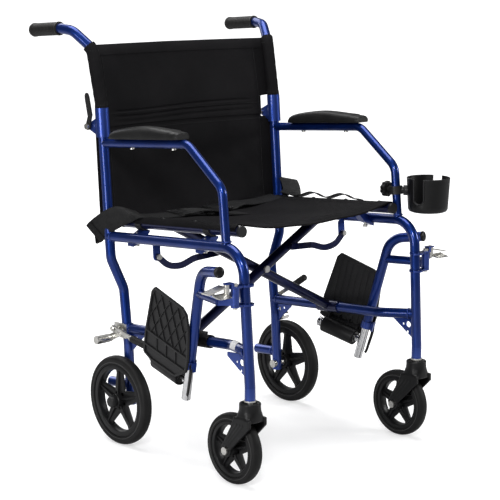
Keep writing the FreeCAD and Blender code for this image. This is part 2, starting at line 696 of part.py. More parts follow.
def hanger(side):
    corner_z = 440.0
    corner = along_hanger(0, (corner_z - BARREL_ROOT[1]) / math.cos(HANGER_LEAN))
    foot = along_hanger(0, 33.0)
    path = [(HANGER_OUT, 20, 452), (HANGER_OUT, *corner), (HANGER_OUT, *foot)]
    tube = bent_bar(path, (48,), TUBE_R)
    inside = bent_bar(path, (48,), HANGER_BORE)
    strut_end = along_hanger(0, (392 - BARREL_ROOT[1]) / math.cos(HANGER_LEAN))
    strut = rod((HANGER_OUT, 16, 394), (HANGER_OUT, strut_end[0], 392), 9.5)
    gap = 0.6
    low, high = RING_Z[0] + RING_THICK / 2 + gap, RING_Z[1] - RING_THICK / 2 - gap
    barrel = rod((0, 0, low), (0, 0, high), 9.0)
    plan = [Vector(x, y, low) for x, y in ((-5, 6), (5, -6), (31, 14), (31, 34), (17, 34))]
    web = Part.Face(Part.makePolygon(plan + plan[:1])).extrude(Vector(0, 0, 404 - low))
    collar_low, collar_high = along_hanger(0, 33.0), along_hanger(0, 50.0)
    collar = rod((HANGER_OUT, *collar_low), (HANGER_OUT, *collar_high), 13.2)
    shape = fuse([tube, strut, barrel, web, collar]).cut(inside)
    shape = shape.cut(rod((0, 0, 370), (0, 0, 440), PIN_R + RUN))
    return hanger_place(side, shape)


def extension(side):
    """The telescoping chrome tube, with the rod that the footplate turns on."""
    low, high = along_hanger(0, -42.0), along_hanger(0, 120.0)
    tube = rod((HANGER_OUT, *low), (HANGER_OUT, *high), EXTENSION_R)
    bore_ends = [(HANGER_OUT, *along_hanger(0, up)) for up in (8.0, 130.0)]
    bore = rod(*bore_ends, EXTENSION_R - 1.5)
    axis_rod = rod((HANGER_OUT, *along_hanger(0, 0)), (HANGER_OUT, *along_hanger(116.0, 0)), ROD_R)
    end = rod((HANGER_OUT, *along_hanger(114.0, 0)), (HANGER_OUT, *along_hanger(121.0, 0)), 11.0)
    return turned_extension(side, fuse([tube.cut(bore), axis_rod, end]))


def footplate(side):
    """The plate, stowed upright beside the hanger, and the barrel that turns on the rod."""
    outline = [(-11, 30), (-12, 60), (-3, 128), (8, 156), (24, 166), (118, 172), (126, 160),
               (134, 60), (132, 12), (104, 4), (22, 4)]
    points = [Vector(PLATE_OUT, *along_hanger(*p)) for p in outline]
    plate = Part.Face(Part.makePolygon(points + points[:1])).extrude(Vector(PLATE_THICK, 0, 0))
    barrel = rod((HANGER_OUT, *along_hanger(20.0, 0)), (HANGER_OUT, *along_hanger(106.0, 0)), BARREL_R)
    neck = [Vector(HANGER_OUT + 4, *along_hanger(*p)) for p in ((22, 2), (22, 24), (104, 24), (104, 2))]
    web = Part.Face(Part.makePolygon(neck + neck[:1])).extrude(Vector(PLATE_OUT - HANGER_OUT - 2, 0, 0))
    shape = fuse([plate, barrel, web])
    bore = rod((HANGER_OUT, *along_hanger(0, 0)), (HANGER_OUT, *along_hanger(112.0, 0)), ROD_R + RUN)
    return turned_extension(side, shape.cut(bore))


LATCH_PIVOT = (20.0, 3.0)


def latch(side):
    """The footrest latch: two thumb plates on one upright pivot, between the hinge rings."""
    out, back = LATCH_PIVOT
    hub = rod((out, back, 408), (out, back, 431), 6.0)
    upper = Part.makeBox(46, 24, 3, Vector(out + 3, back - 4, 425))
    upper = turned(upper, (out, back, 426), (0, 1, 0), 12)
    lower = Part.makeBox(34, 28, 3, Vector(out + 2, back - 26, 411))
    lower = turned(lower, (out, back, 412), (1, 0, 0), 14)
    shape = fuse([hub, upper, lower]).cut(rod((out, back, 400), (out, back, 440), 3.0 + RUN))
    shape = shape.common(Part.makeBox(64, 60, 22.6, Vector(out - 8, back - 30, 408)))
    placed = shape if side > 0 else shape.mirror(Vector(0, 0, 0), Vector(1, 0, 0))
    return moved(placed, (side * PIN_X, PIN_Y, 0))


def latch_pin(side):
    x, y = side * (PIN_X + LATCH_PIVOT[0]), PIN_Y + LATCH_PIVOT[1]
    return rod((x, y, 404.9), (x, y, 432), 3.0)


def latch_bracket(side):
    """The upright from the upper ring's eye that holds the latch pivot."""
    xs = sorted((side * (PIN_X + 6), side * (PIN_X + 25)))
    top = block((xs[0], PIN_Y - 4, 431.0), (xs[1], PIN_Y + 9, 433.5))
    neck_xs = sorted((side * (PIN_X + 6.2), side * (PIN_X + 13.0)))
    neck = block((neck_xs[0], PIN_Y - 5, 421.0), (neck_xs[1], PIN_Y + 5, 432.0))
    return top, neck


# ---------------------------------------------------------------- wheel lock

def lock_lever(side):
    """The hand lever, from its pivot up and forward to the grip."""
    x = side * (LOCK_X + 7.0)
    y, z = LOCK_LEVER_PIVOT
    hub = rod((x, y, z), (x + side * 4, y, z), 8.0)
    blade = plate_x([(y + 3, z - 6), (y + 2, z + 6), (-26, 297), (-30, 289)], x, side * 4)
    handle = rod((x + side * 2, -22, 289), (x + side * 2, -66, 318), 6.5)
    shape = fuse([hub, blade, handle])
    shape = shape.cut(rod((x - side * 9, y, z), (x + side * 19, y, z), 4.0 + RUN))
    return turned(shape, (x, y, z), (1, 0, 0), LEVER_REST[side_name(side)])


def lock_shoe(side):
    """The arm and the cross pin that presses on the tyre."""
    x = side * (LOCK_X + 1.5)
    y, z = LOCK_SHOE_PIVOT
    hub = rod((x, y, z), (x + side * 4, y, z), 8.0)
    arm = plate_x([(y - 2, z - 7), (y + 3, z + 7), (LOCK_SHOE[0] + 2, LOCK_SHOE[1] + 7),
                   (LOCK_SHOE[0] - 4, LOCK_SHOE[1] - 7)], x, side * 4)
    pin = rod((side * (LOCK_X + 1.0), *LOCK_SHOE), (side * (LOCK_X + 42.0), *LOCK_SHOE), SHOE_R)
    shape = fuse([hub, arm, pin])
    shape = shape.cut(rod((x - side * 9, y, z), (x + side * 19, y, z), 4.0 + RUN))
    return turned(shape, (x, y, z), (1, 0, 0), SHOE_REST[side_name(side)])


# ---------------------------------------------------------------- cup holder

def cup_axis():
    x, y = CUP_CENTRE
    tube = Vector(RAIL_X, -348.5, CLAMP_Z)
    return tube, (Vector(x, y, CLAMP_Z) - tube).normalize()


def knob_axis():
    """The clamp's screw comes in from behind, clear of the seat rail that rises as the chair folds."""
    tube, _ = cup_axis()
    return tube, Vector(0, 1, 0)


def cup():
    x, y = CUP_CENTRE
    outside = Part.makeCone(CUP_R - 4, CUP_R, CUP_HEIGHT, Vector(x, y, CUP_BOTTOM_Z))
    floor = Vector(x, y, CUP_BOTTOM_Z + 3)
    inside = Part.makeCone(CUP_R - 4 - CUP_WALL, CUP_R - CUP_WALL, CUP_HEIGHT, floor)
    tube, along = cup_axis()
    arm = rod(tube + along * 15.0, Vector(x, y, CLAMP_Z) - along * (CUP_R - 5), 7.0)
    shape = fuse([outside, arm]).cut(inside)
    slots = []
    for angle in CUP_SLOTS:
        slot = Part.makeBox(60, 22, CUP_HEIGHT, Vector(x, y - 11, CUP_BOTTOM_Z + 33))
        slot = slot.fuse(rod((x, y, CUP_BOTTOM_Z + 33), (x + 60, y, CUP_BOTTOM_Z + 33), 11))
        slots.append(turned(slot, (x, y, 0), (0, 0, 1), angle))
    return shape.cut(fuse(slots))


def cup_clamp():
    """The split ring round the armrest's front tube, bored for the knob's screw."""
    tube, along = cup_axis()
    _, back = knob_axis()
    low, high = arm_drop(CLAMP_Z - 9), arm_drop(CLAMP_Z + 9)
    ring = rod(low, high, 14.5)
    boss = rod(tube, tube + along * 15, 8.0).fuse(rod(tube, tube + back * 22, 8.0))
    clear = rod(arm_drop(CLAMP_Z - 30), arm_drop(CLAMP_Z + 30), ARM_TUBE_R + 0.1)
    screw = rod(tube + back * 5, tube + back * 40, 3.0 + RUN)
    return fuse([ring, boss]).cut(fuse([clear, screw]))


def arm_drop(z):
    """The middle of the armrest's front tube at height z."""
    foot_z = rail_z(SIDE_RAIL_Z, -354.0)
    return Vector(RAIL_X, -354.0 + 12.0 * (z - foot_z) / (609.0 - foot_z), z)


def cup_knob():
    tube, back = knob_axis()
    head = rod(tube + back * 23, tube + back * 38, KNOB_R)
    screw = rod(tube + back * 12, tube + back * 25, 3.0)
    return fuse([head, screw])


# ---------------------------------------------------------------- the whole chair

def side_nodes(side):
    frame = side_frame(side)
    top, neck = latch_bracket(side)
    pin = rod((side * PIN_X, PIN_Y, 370), (side * PIN_X, PIN_Y, 445), PIN_R)
    latch_hole = [(side * (PIN_X + 20), PIN_Y + 3, z) for z in (400, 440)]
    bracket = top.fuse(neck).cut(rod(*latch_hole, 3.0))
    frame = frame.fuse(bracket).cut(pin).removeSplitter()
    rear_rim, rear_tyre = wheel(REAR_R, REAR_WIDTH, 82.0, 69.0, 16.0, 34.0)
    front_rim, front_tyre = wheel(CASTER_R, CASTER_WIDTH, 60.0, 50.0, 14.0, 33.0)
    rear_at = (side * REAR_X, 0, REAR_R)
    front_at = (side * CASTER_X, CASTER_Y, CASTER_R)
    return {
        "side_frame": [frame],
        "arm_pad": [arm_pad(side)],
        "seat_saddles": [saddle(side, y) for y in (-45, -270)],
        "hardware": hardware(side) + arm_screws(side) + [link_bolt(side), latch_pin(side)],
        "lock_plate": [lock_plate(side)],
        "straps": straps(side),
        "back_cane": [cane(side)],
        "push_grip": [grip(side)],
        "back_release_lever": [back_lever(side)],
        "back_panel_lower": [back_half(side, LOW_EDGE)],
        "back_panel_upper": [back_half(side, HIGH_EDGE)],
        "seat_sling": [seat_half(side)],
        "lap_belt": [lap_belt(side)],
        "seat_rail_caps": rail_caps(side),
        "fold_link": [link(side)],
        "rear_rim": [moved(rear_rim, rear_at)],
        "rear_tyre": [moved(rear_tyre, rear_at)],
        "caster_fork": [caster_fork(side)],
        "caster_axle": [caster_axle(side)],
        "caster_rim": [moved(front_rim, front_at)],
        "caster_tyre": [moved(front_tyre, front_at)],
        "footrest_hanger": [hanger(side)],
        "footrest_extension": [extension(side)],
        "footplate": [footplate(side)],
        "footrest_latch": [latch(side)],
        "lock_lever": [lock_lever(side)],
        "lock_shoe": [lock_shoe(side)],
    }


def all_nodes():
    nodes = {}
    for name, side in SIDES.items():
        for part, solids in side_nodes(side).items():
            nodes[name + "_" + part] = solids
    nodes["brace_front"] = [brace(-1)]
    nodes["brace_rear"] = [brace(1)]
    nodes["brace_bolt"] = [centre_bolt()]
    nodes["cup_holder"] = [cup()]
    nodes["cup_holder_clamp"] = [cup_clamp()]
    nodes["cup_holder_knob"] = [cup_knob()]
    return nodes


def export(nodes):
    os.makedirs("parts", exist_ok=True)
    bounds = FreeCAD.BoundBox()
    for name, solids in nodes.items():
        shape = Part.makeCompound(solids) if len(solids) > 1 else solids[0]
        shape.translate(ORIGIN)
        bounds.add(shape.BoundBox)
        shape.exportStep("parts/" + name + ".step")
    print(len(nodes), "nodes", bounds)


if __name__ == "__main__":
    export(all_nodes())
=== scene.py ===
import math

import bmesh
import bpy
from mathutils import Matrix, Vector


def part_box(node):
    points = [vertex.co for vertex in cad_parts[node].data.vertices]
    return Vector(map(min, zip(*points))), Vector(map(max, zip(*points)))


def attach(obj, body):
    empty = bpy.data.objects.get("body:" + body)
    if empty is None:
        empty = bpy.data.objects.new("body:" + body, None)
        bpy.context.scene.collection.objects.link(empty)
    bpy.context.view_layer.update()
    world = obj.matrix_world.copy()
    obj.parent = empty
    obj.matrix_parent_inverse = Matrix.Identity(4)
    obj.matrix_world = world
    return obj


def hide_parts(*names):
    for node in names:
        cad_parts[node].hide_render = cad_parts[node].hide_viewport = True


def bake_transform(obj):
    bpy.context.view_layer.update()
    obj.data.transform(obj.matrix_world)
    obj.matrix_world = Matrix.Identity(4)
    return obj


# The looks of a folding transport wheelchair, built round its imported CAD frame.
# Shapes are written in millimetres from the floor under the rear axle, mid-way between the sides:
# X points to the occupant's left, -Y is forward and Z is up. place() turns them into the frame.
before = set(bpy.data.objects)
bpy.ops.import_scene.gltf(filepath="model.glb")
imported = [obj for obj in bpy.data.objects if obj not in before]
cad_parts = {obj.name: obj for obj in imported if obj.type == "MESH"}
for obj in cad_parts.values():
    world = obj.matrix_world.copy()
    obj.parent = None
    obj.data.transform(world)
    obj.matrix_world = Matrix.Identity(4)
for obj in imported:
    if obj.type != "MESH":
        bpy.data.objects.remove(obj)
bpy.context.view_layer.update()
SIDES = {"right": -1, "left": 1}

PITCH = math.radians(4.0)
CANE_SLOPE = math.atan2(16.0, 214.0)
ARM_PITCH = math.atan2(21.0, 282.0)
TUBE_R = 11.1
ARM_TUBE_R = 9.5
RAIL_X = 256.0
SEAT_X = 225.0
SEAT_RAIL_Z = 495.8
SIDE_RAIL_Z = 467.3
LOWER_RAIL_Z = 257.8
REAR_R = 100.0
CASTER_R = 75.0


def axle_shift():
    """How far the rear axle is behind the frame's origin, in metres."""
    low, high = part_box("right_rear_tyre")
    return (low.y + high.y) / 2


AXLE_Y = axle_shift()


def place(point):
    return Vector((point[0] / 1000, point[1] / 1000 + AXLE_Y, point[2] / 1000))


# ---------------------------------------------------------------- materials

def shader(name, colour, rough, **settings):
    """A material with its Principled settings; a setting's name is written with underscores."""
    mat = bpy.data.materials.new(name)
    mat.use_nodes = True
    surface = mat.node_tree.nodes["Principled BSDF"]
    surface.inputs["Base Color"].default_value = (*colour, 1)
    surface.inputs["Roughness"].default_value = rough
    for key, value in settings.items():
        surface.inputs[key.replace("_", " ")].default_value = value
    return mat


def add_node(mat, kind, **values):
    node = mat.node_tree.nodes.new(kind)
    for key, value in values.items():
        if hasattr(node, key):
            setattr(node, key, value)
        else:
            node.inputs[key.replace("_", " ")].default_value = value
    return node


def join(mat, output, target):
    mat.node_tree.links.new(output, target)


def surface_of(mat):
    return mat.node_tree.nodes["Principled BSDF"]


def textured(mat, kind, scale, **values):
    """A texture node in the object's own coordinates, in metres."""
    coords = add_node(mat, "ShaderNodeTexCoord")
    texture = add_node(mat, kind, Scale=scale, **values)
    join(mat, coords.outputs["Object"], texture.inputs["Vector"])
    return texture


def remap(mat, output, low, high, to_low, to_high):
    node = add_node(mat, "ShaderNodeMapRange")
    for name, value in (("From Min", low), ("From Max", high), ("To Min", to_low), ("To Max", to_high)):
        node.inputs[name].default_value = value
    join(mat, output, node.inputs["Value"])
    return node.outputs["Result"]


def mix_colour(mat, factor, first, second):
    """A colour that goes from first to second; each is a colour or another node's output."""
    node = add_node(mat, "ShaderNodeMix", data_type="RGBA")
    join(mat, factor, node.inputs[0])
    for value, target in ((first, node.inputs[6]), (second, node.inputs[7])):
        if isinstance(value, tuple):
            target.default_value = (*value, 1)
        else:
            join(mat, value, target)
    return node.outputs[2]


def mottle(mat, other, scale, detail=5.0, low=0.35, high=0.65):
    """Slow colour change from the base colour to another."""
    surface = surface_of(mat)
    base = tuple(surface.inputs["Base Color"].default_value)[:3]
    noise = textured(mat, "ShaderNodeTexNoise", scale, Detail=detail)
    factor = remap(mat, noise.outputs["Fac"], low, high, 0, 1)
    colour = mix_colour(mat, factor, base, other)
    join(mat, colour, surface.inputs["Base Color"])
    return colour


def worn_edges(mat, colour, edge, amount):
    """Lightens the sharp outer edges, where paint or plastic rubs."""
    surface = surface_of(mat)
    geometry = add_node(mat, "ShaderNodeNewGeometry")
    factor = remap(mat, geometry.outputs["Pointiness"], 0.52, 0.60, 0, amount)
    worn = mix_colour(mat, factor, colour, edge)
    join(mat, worn, surface.inputs["Base Color"])


def uneven_gloss(mat, scale, low, high):
    noise = textured(mat, "ShaderNodeTexNoise", scale, Detail=6.0)
    rough = remap(mat, noise.outputs["Fac"], 0.3, 0.7, low, high)
    join(mat, rough, surface_of(mat).inputs["Roughness"])


def relief(mat, height, strength, distance):
    bump = add_node(mat, "ShaderNodeBump", Strength=strength, Distance=distance)
    join(mat, height, bump.inputs["Height"])
    join(mat, bump.outputs["Normal"], surface_of(mat).inputs["Normal"])


def grain(mat, scale, strength, distance, kind="ShaderNodeTexNoise", output="Fac", **values):
    texture = textured(mat, kind, scale, **values)
    relief(mat, texture.outputs[output], strength, distance)


def woven(mat, pitch, strength, directions=("X", "Z")):
    """Two sets of threads, one along each direction, that rise in turn."""
    waves = []
    for direction in directions:
        wave = textured(mat, "ShaderNodeTexWave", 0.5 / pitch / math.pi, bands_direction=direction,
                        Distortion=0.3)
        wave.inputs["Detail Scale"].default_value = 400.0
        waves.append(wave.outputs["Fac"])
    product = add_node(mat, "ShaderNodeMath", operation="MAXIMUM")
    join(mat, waves[0], product.inputs[0])
    join(mat, waves[1], product.inputs[1])
    relief(mat, product.outputs[0], strength, 0.0005)


def metal(name, colour, rough, streaks):
    mat = shader(name, colour, rough, Metallic=1.0)
    mottle(mat, tuple(c * 0.82 for c in colour), 90.0)
    grain(mat, streaks, 0.06, 0.0004, Detail=8.0)
    uneven_gloss(mat, 60.0, rough * 0.75, rough * 1.35)
    return mat


def paint_material(name, colour, deep, rough):
    """Glossy metallic powder paint with a clear coat and a slight orange peel."""
    mat = shader(name, colour, rough, Metallic=0.75, Specular_IOR_Level=0.1, Coat_Weight=0.45,
                 Coat_Roughness=0.05)
    shade = mottle(mat, deep, 14.0)
    worn_edges(mat, shade, tuple(min(1.0, c * 1.8 + 0.03) for c in colour), 0.5)
    grain(mat, 420.0, 0.05, 0.0004, Detail=3.0)
    return mat


def plastic_material(name, colour, rough, scale=900.0):
    """Moulded plastic with a fine spark-eroded texture."""
    mat = shader(name, colour, rough, Specular_IOR_Level=0.20)
    shade = mottle(mat, tuple(c * 1.5 for c in colour), 22.0)
    worn_edges(mat, shade, tuple(c * 3.2 + 0.01 for c in colour), 0.6)
    grain(mat, scale, 0.22, 0.0004, Detail=4.0)
    return mat


def make_materials():
    paint = paint_material("paint_blue", (0.0046, 0.025, 0.165), (0.0038, 0.019, 0.125), 0.34)
    # The same blue paint made much darker: painted shade for the braces and fold link, which carry the blue
    # paint
    painted_shade_blue = paint_material("paint_navy", (0.004, 0.007, 0.045), (0.003, 0.005, 0.032), 0.30)
    steel = metal("zinc_steel", (0.62, 0.61, 0.58), 0.30, 350.0)
    chrome = metal("satin_chrome", (0.70, 0.70, 0.71), 0.17, 250.0)
    fabric = shader("woven_nylon", (0.0046, 0.0044, 0.0050), 0.72, Specular_IOR_Level=0.07)
    mottle(fabric, (0.0072, 0.0068, 0.0076), 9.0)
    woven(fabric, 0.0011, 0.55)
    webbing = shader("belt_webbing", (0.0062, 0.0062, 0.0066), 0.60, Specular_IOR_Level=0.15)
    mottle(webbing, (0.0095, 0.0095, 0.0100), 60.0)
    woven(webbing, 0.0016, 0.8)
    thread = shader("sewing_thread", (0.010, 0.010, 0.011), 0.6, Specular_IOR_Level=0.15)
    mottle(thread, (0.018, 0.018, 0.019), 500.0)
    grain(thread, 2500.0, 0.4, 0.0002)
    plastic = plastic_material("moulded_black", (0.0036, 0.0036, 0.0039), 0.36)
    pad = shader("foam_skin", (0.0065, 0.0065, 0.0068), 0.44, Specular_IOR_Level=0.18)
    mottle(pad, (0.0115, 0.0115, 0.0115), 18.0)
    grain(pad, 700.0, 0.30, 0.0004, kind="ShaderNodeTexVoronoi", output="Distance")
    rubber = shader("grip_rubber", (0.0065, 0.0062, 0.0062), 0.55, Specular_IOR_Level=0.25)
    mottle(rubber, (0.0100, 0.0095, 0.0090), 45.0)
    grain(rubber, 1100.0, 0.35, 0.0004)
    tyre = shader("tyre_rubber", (0.0050, 0.0050, 0.0051), 0.52, Specular_IOR_Level=0.16)
    mottle(tyre, (0.0090, 0.0088, 0.0088), 26.0)
    grain(tyre, 800.0, 0.25, 0.0004)
    tread = shader("tyre_line", (0.035, 0.035, 0.035), 0.6)
    mottle(tread, (0.022, 0.022, 0.022), 70.0)
    label = shader("plain_label", (0.62, 0.62, 0.62), 0.5)
    mottle(label, (0.54, 0.54, 0.55), 120.0)
    return {
        "label": label, "paint": paint, "dark_paint": painted_shade_blue, "steel": steel, "chrome": chrome,
        "fabric": fabric, "webbing": webbing, "thread": thread, "plastic": plastic, "pad": pad,
        "grip": rubber, "tyre": tyre, "tyre_line": tread,
    }


MATERIALS = make_materials()
SLOT_OF = {"thread": "webbing", "tyre_line": "tyre", "label": "plastic"}


# ---------------------------------------------------------------- meshes in code

def merged(shapes):
    """One list of points and faces from several shapes."""
    points, faces = [], []
    for more_points, more_faces in shapes:
        start = len(points)
        points += more_points
        faces += [tuple(start + i for i in face) for face in more_faces]
    return points, faces


def frames_along(path, up=None):
    """At each point of a path: its direction and two directions square to it, without twist."""
    frames = []
    side = None
    last = len(path) - 1
    for i in range(len(path)):
        along = (path[min(i + 1, last)] - path[max(i - 1, 0)]).normalized()
        if up is not None:
            side = along.cross(up).normalized()
        elif side is None:
            helper = Vector((0, 0, 1)) if abs(along.z) < 0.9 else Vector((0, 1, 0))
            side = along.cross(helper).normalized()
        else:
            side = (side - along * side.dot(along)).normalized()
        frames.append((along, side, side.cross(along)))
    return frames


def skinned(points, rows, count, caps=True):
    """Rows of closed rings, each of count points, joined row to row, with a face over each end."""
    faces = []
    for i in range(rows - 1):
        for j in range(count):
            k = (j + 1) % count
            faces.append((i * count + j, i * count + k, (i + 1) * count + k, (i + 1) * count + j))
    if caps:
        faces.append(tuple(range(count)))
        faces.append(tuple((rows - 1) * count + j for j in range(count)))
    return points, faces


def swept(path, profile, up=None, caps=True):
    """A closed profile carried along a path. profile is a list of (side, up) or gives one for 0..1."""
    path = [Vector(p) for p in path]
    points = []
    count = 0
    for i, (middle, (_, side, over)) in enumerate(zip(path, frames_along(path, up))):
        ring = profile(i / (len(path) - 1)) if callable(profile) else profile
        count = len(ring)
        points += [middle + side * a + over * b for a, b in ring]
    return skinned(points, len(path), count, caps)


def circle(radius, count=28):
    turns = [2 * math.pi * i / count for i in range(count)]
    return [(radius * math.cos(turn), radius * math.sin(turn)) for turn in turns]


def rectangle(wide, high, corner=0.0, steps=3):
    """A rectangle with round corners, as a closed profile."""
    half_wide, half_high = wide / 2, high / 2
    if corner <= 0:
        signs = ((-1, -1), (1, -1), (1, 1), (-1, 1))
        return [(sx * half_wide, sy * half_high) for sx, sy in signs]
    ring = []
    for number, (sx, sy) in enumerate(((1, 1), (-1, 1), (-1, -1), (1, -1))):
        cx, cy = sx * (half_wide - corner), sy * (half_high - corner)
        for step in range(steps + 1):
            angle = math.pi / 2 * (number + step / steps)
            ring.append((cx + corner * math.cos(angle), cy + corner * math.sin(angle)))
    return ring


def lathed(profile, origin, axis, count=48, loop=False):
    """A profile of (radius, distance along the axis) turned round the axis. loop closes the profile."""
    origin, axis = Vector(origin), Vector(axis).normalized()
    helper = Vector((0, 0, 1)) if abs(axis.z) < 0.9 else Vector((0, 1, 0))
    side = axis.cross(helper).normalized()
    over = side.cross(axis)
    points, faces, rings = [], [], []
    for radius, along in profile:
        middle = origin + axis * along
        if radius < 0.01:
            rings.append([len(points)] * count)
            points.append(middle)
            continue
        rings.append(list(range(len(points), len(points) + count)))
        for i in range(count):
            angle = 2 * math.pi * i / count
            points.append(middle + (side * math.cos(angle) + over * math.sin(angle)) * radius)
    pairs = list(zip(rings, rings[1:]))
    if loop:
        pairs.append((rings[-1], rings[0]))
    for low, high in pairs:
        for i in range(count):
            k = (i + 1) % count
            corners = [low[i], low[k], high[k], high[i]]
            face = [c for n, c in enumerate(corners) if c not in corners[:n]]
            if len(face) > 2:
                faces.append(tuple(face))
    return points, faces


def slab(outline, offset):
    """A flat closed shape: an outline of points, and the same outline moved by offset."""
    outline = [Vector(p) for p in outline]
    count = len(outline)
    points = outline + [p + Vector(offset) for p in outline]
    faces = [tuple(range(count)), tuple(range(count, 2 * count))]
    for i in range(count):
        k = (i + 1) % count
        faces.append((i, k, count + k, count + i))
    return points, faces


def bar(start, end, wide, high, up, corner=0.0):
    return swept([start, end], rectangle(wide, high, corner), up=Vector(up))


def sheet(grid, thick):
    """A closed sheet from rows of points, thick across its own normals."""
    rows, columns = len(grid), len(grid[0])
    normals = []
    for i in range(rows):
        for j in range(columns):
            down = grid[min(i + 1, rows - 1)][j] - grid[max(i - 1, 0)][j]
            across = grid[i][min(j + 1, columns - 1)] - grid[i][max(j - 1, 0)]
            normals.append(across.cross(down).normalized())
    flat = [p for row in grid for p in row]
    half = thick / 2
    points = [p + n * half for p, n in zip(flat, normals)] + [p - n * half for p, n in zip(flat, normals)]
    lower = len(flat)
    faces = []
    for i in range(rows - 1):
        for j in range(columns - 1):
            a, b = i * columns + j, i * columns + j + 1
            c, d = (i + 1) * columns + j + 1, (i + 1) * columns + j
            faces += [(a, b, c, d), (lower + d, lower + c, lower + b, lower + a)]
    rim = [j for j in range(columns)] + [i * columns + columns - 1 for i in range(1, rows)]
    rim += [(rows - 1) * columns + j for j in range(columns - 2, -1, -1)]
    rim += [i * columns for i in range(rows - 2, 0, -1)]
    for a, b in zip(rim, rim[1:] + rim[:1]):
        faces.append((a, b, lower + b, lower + a))
    return points, faces


def piece(name, parts, smooth=40.0, bevel=0.0):
    """A mesh object from [(shape, material name), ...]. bevel rounds its sharp edges, in mm."""
    mesh = bpy.data.meshes.new(name)
    points, faces = merged([shape for shape, _ in parts])
    mesh.from_pydata([place(p) for p in points], [], faces)
    names = []
    owners = []
    for (_, part_faces), material in parts:
        if material not in names:
            names.append(material)
        owners += [names.index(material)] * len(part_faces)
    mesh.polygons.foreach_set("material_index", owners)
    for material in names:
        mesh.materials.append(MATERIALS[material])
    work = bmesh.new()
    work.from_mesh(mesh)
    bmesh.ops.recalc_face_normals(work, faces=work.faces)
    work.to_mesh(mesh)
    work.free()
    mesh.shade_smooth()
    mesh.set_sharp_from_angle(angle=math.radians(smooth))
    obj = bpy.data.objects.new(name, mesh)
    bpy.context.scene.collection.objects.link(obj)
    if bevel:
        add_bevel(obj, bevel)
    obj["slot"] = SLOT_OF.get(names[0], names[0])
    return obj


def add_bevel(obj, width):
    edge = obj.modifiers.new("soft_edges", "BEVEL")
    edge.width = width / 1000
    edge.segments = 2
    edge.limit_method = "ANGLE"
    edge.angle_limit = math.radians(35)
    edge.harden_normals = True


def bake(obj):
    """Puts the result of the object's modifiers into its mesh."""
    bpy.context.view_layer.update()
    graph = bpy.context.evaluated_depsgraph_get()
    mesh = bpy.data.meshes.new_from_object(obj.evaluated_get(graph))
    obj.modifiers.clear()
    obj.data = mesh


def ride(obj, body, *nodes):
    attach(obj, body)
    if nodes:
        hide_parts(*nodes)


def blend(obj, first, second, reach, *nodes):
    """Bakes the piece's place into its mesh and hides the nodes it stands in for; first, second and reach are
    not used.
    """
    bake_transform(obj)
    if nodes:
        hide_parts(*nodes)


def smoothstep(value):
    value = min(1.0, max(0.0, value))
    return value * value * (3 - 2 * value)


def spaced(low, high, count):
    return [low + (high - low) * i / (count - 1) for i in range(count)]


def stitches(path, normal, pitch=4.5, length=3.0, radius=0.45):
    """A row of thread stitches that lies on a surface, along a path."""
    shapes = []
    path = [Vector(p) for p in path]
    lengths = [(b - a).length for a, b in zip(path, path[1:])]
    total = sum(lengths)

    def at(distance):
        for start, end, size in zip(path, path[1:], lengths):
            if distance <= size:
                return start.lerp(end, distance / size)
            distance -= size
        return path[-1]

    for number in range(int(total / pitch)):
        start = at(number * pitch)
        end = at(number * pitch + length)
        middle = (start + end) / 2 + Vector(normal) * radius * 0.8
        shapes.append(swept([start, middle, end], circle(radius, 5)))
    return merged(shapes)


# ---------------------------------------------------------------- the CAD frame's own finish

# The braces and fold link take the darkened copy of the blue paint: painted shade, not a paint of their own.
CAD_FINISH = {
    "side_frame": "paint", "back_cane": "paint", "footrest_hanger": "paint", "fold_link": "dark_paint",
    "brace_front": "dark_paint", "brace_rear": "dark_paint", "hardware": "steel", "lock_plate": "steel",
    "caster_axle": "steel", "brace_bolt": "steel", "footrest_latch": "steel", "lock_shoe": "steel",
    "lock_lever": "steel", "footrest_extension": "chrome", "back_release_lever": "plastic",
    "seat_saddles": "plastic", "seat_rail_caps": "plastic", "cup_holder_clamp": "plastic",
}


def finish_cad_nodes():
    for name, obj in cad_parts.items():
        kind = name.replace("right_", "").replace("left_", "")
        material = MATERIALS[CAD_FINISH.get(kind, "plastic")]
        obj.data.materials.clear()
        obj.data.materials.append(material)


# ---------------------------------------------------------------- shared positions

def rail_z(height, y):
    return height - y * math.tan(PITCH)


def post_y(z):
    return 31.0 + (z - 455.0) * math.tan(CANE_SLOPE)


CANE_BEND = ((259.5, 74.1, 857.5), (260.0, 77.0, 872.0), (265.4, 86.8, 881.3))


def cane_point(side, z):
    """The middle of the cane at height z, up to the bend below the push grip."""
    if z <= 752:
        return Vector((side * RAIL_X, post_y(z), z))
    start, corner, end = (Vector((side * x, y, height)) for x, y, height in CANE_BEND)
    if z <= start.z:
        foot = Vector((side * RAIL_X, post_y(752), 752))
        return foot.lerp(start, (z - 752) / (start.z - 752))
    first, second = corner.z - start.z, end.z - corner.z
    t = (first - math.sqrt(first ** 2 - (first - second) * (z - start.z))) / (first - second)
    return start * (1 - t) ** 2 + corner * 2 * t * (1 - t) + end * t ** 2


def arm_point(y, lift):
    z = 669 + (47 - y) * math.tan(ARM_PITCH)
    return y + lift * math.sin(ARM_PITCH), z + lift * math.cos(ARM_PITCH)


# ---------------------------------------------------------------- seat

SEAT_SHEET_R = TUBE_R + 2.0
SEAT_REAR_Y = 8.0
SEAT_FRONT_Y = -358.0
SEAT_SAG = 16.0
SEAT_LEAVE = math.radians(75)
SEAT_BLEND = 100.0


def seat_wave(x, y):
    return 0.9 * math.sin(x * 0.045 + y * 0.021) + 0.7 * math.sin(x * 0.021 - y * 0.034 + 1.3)


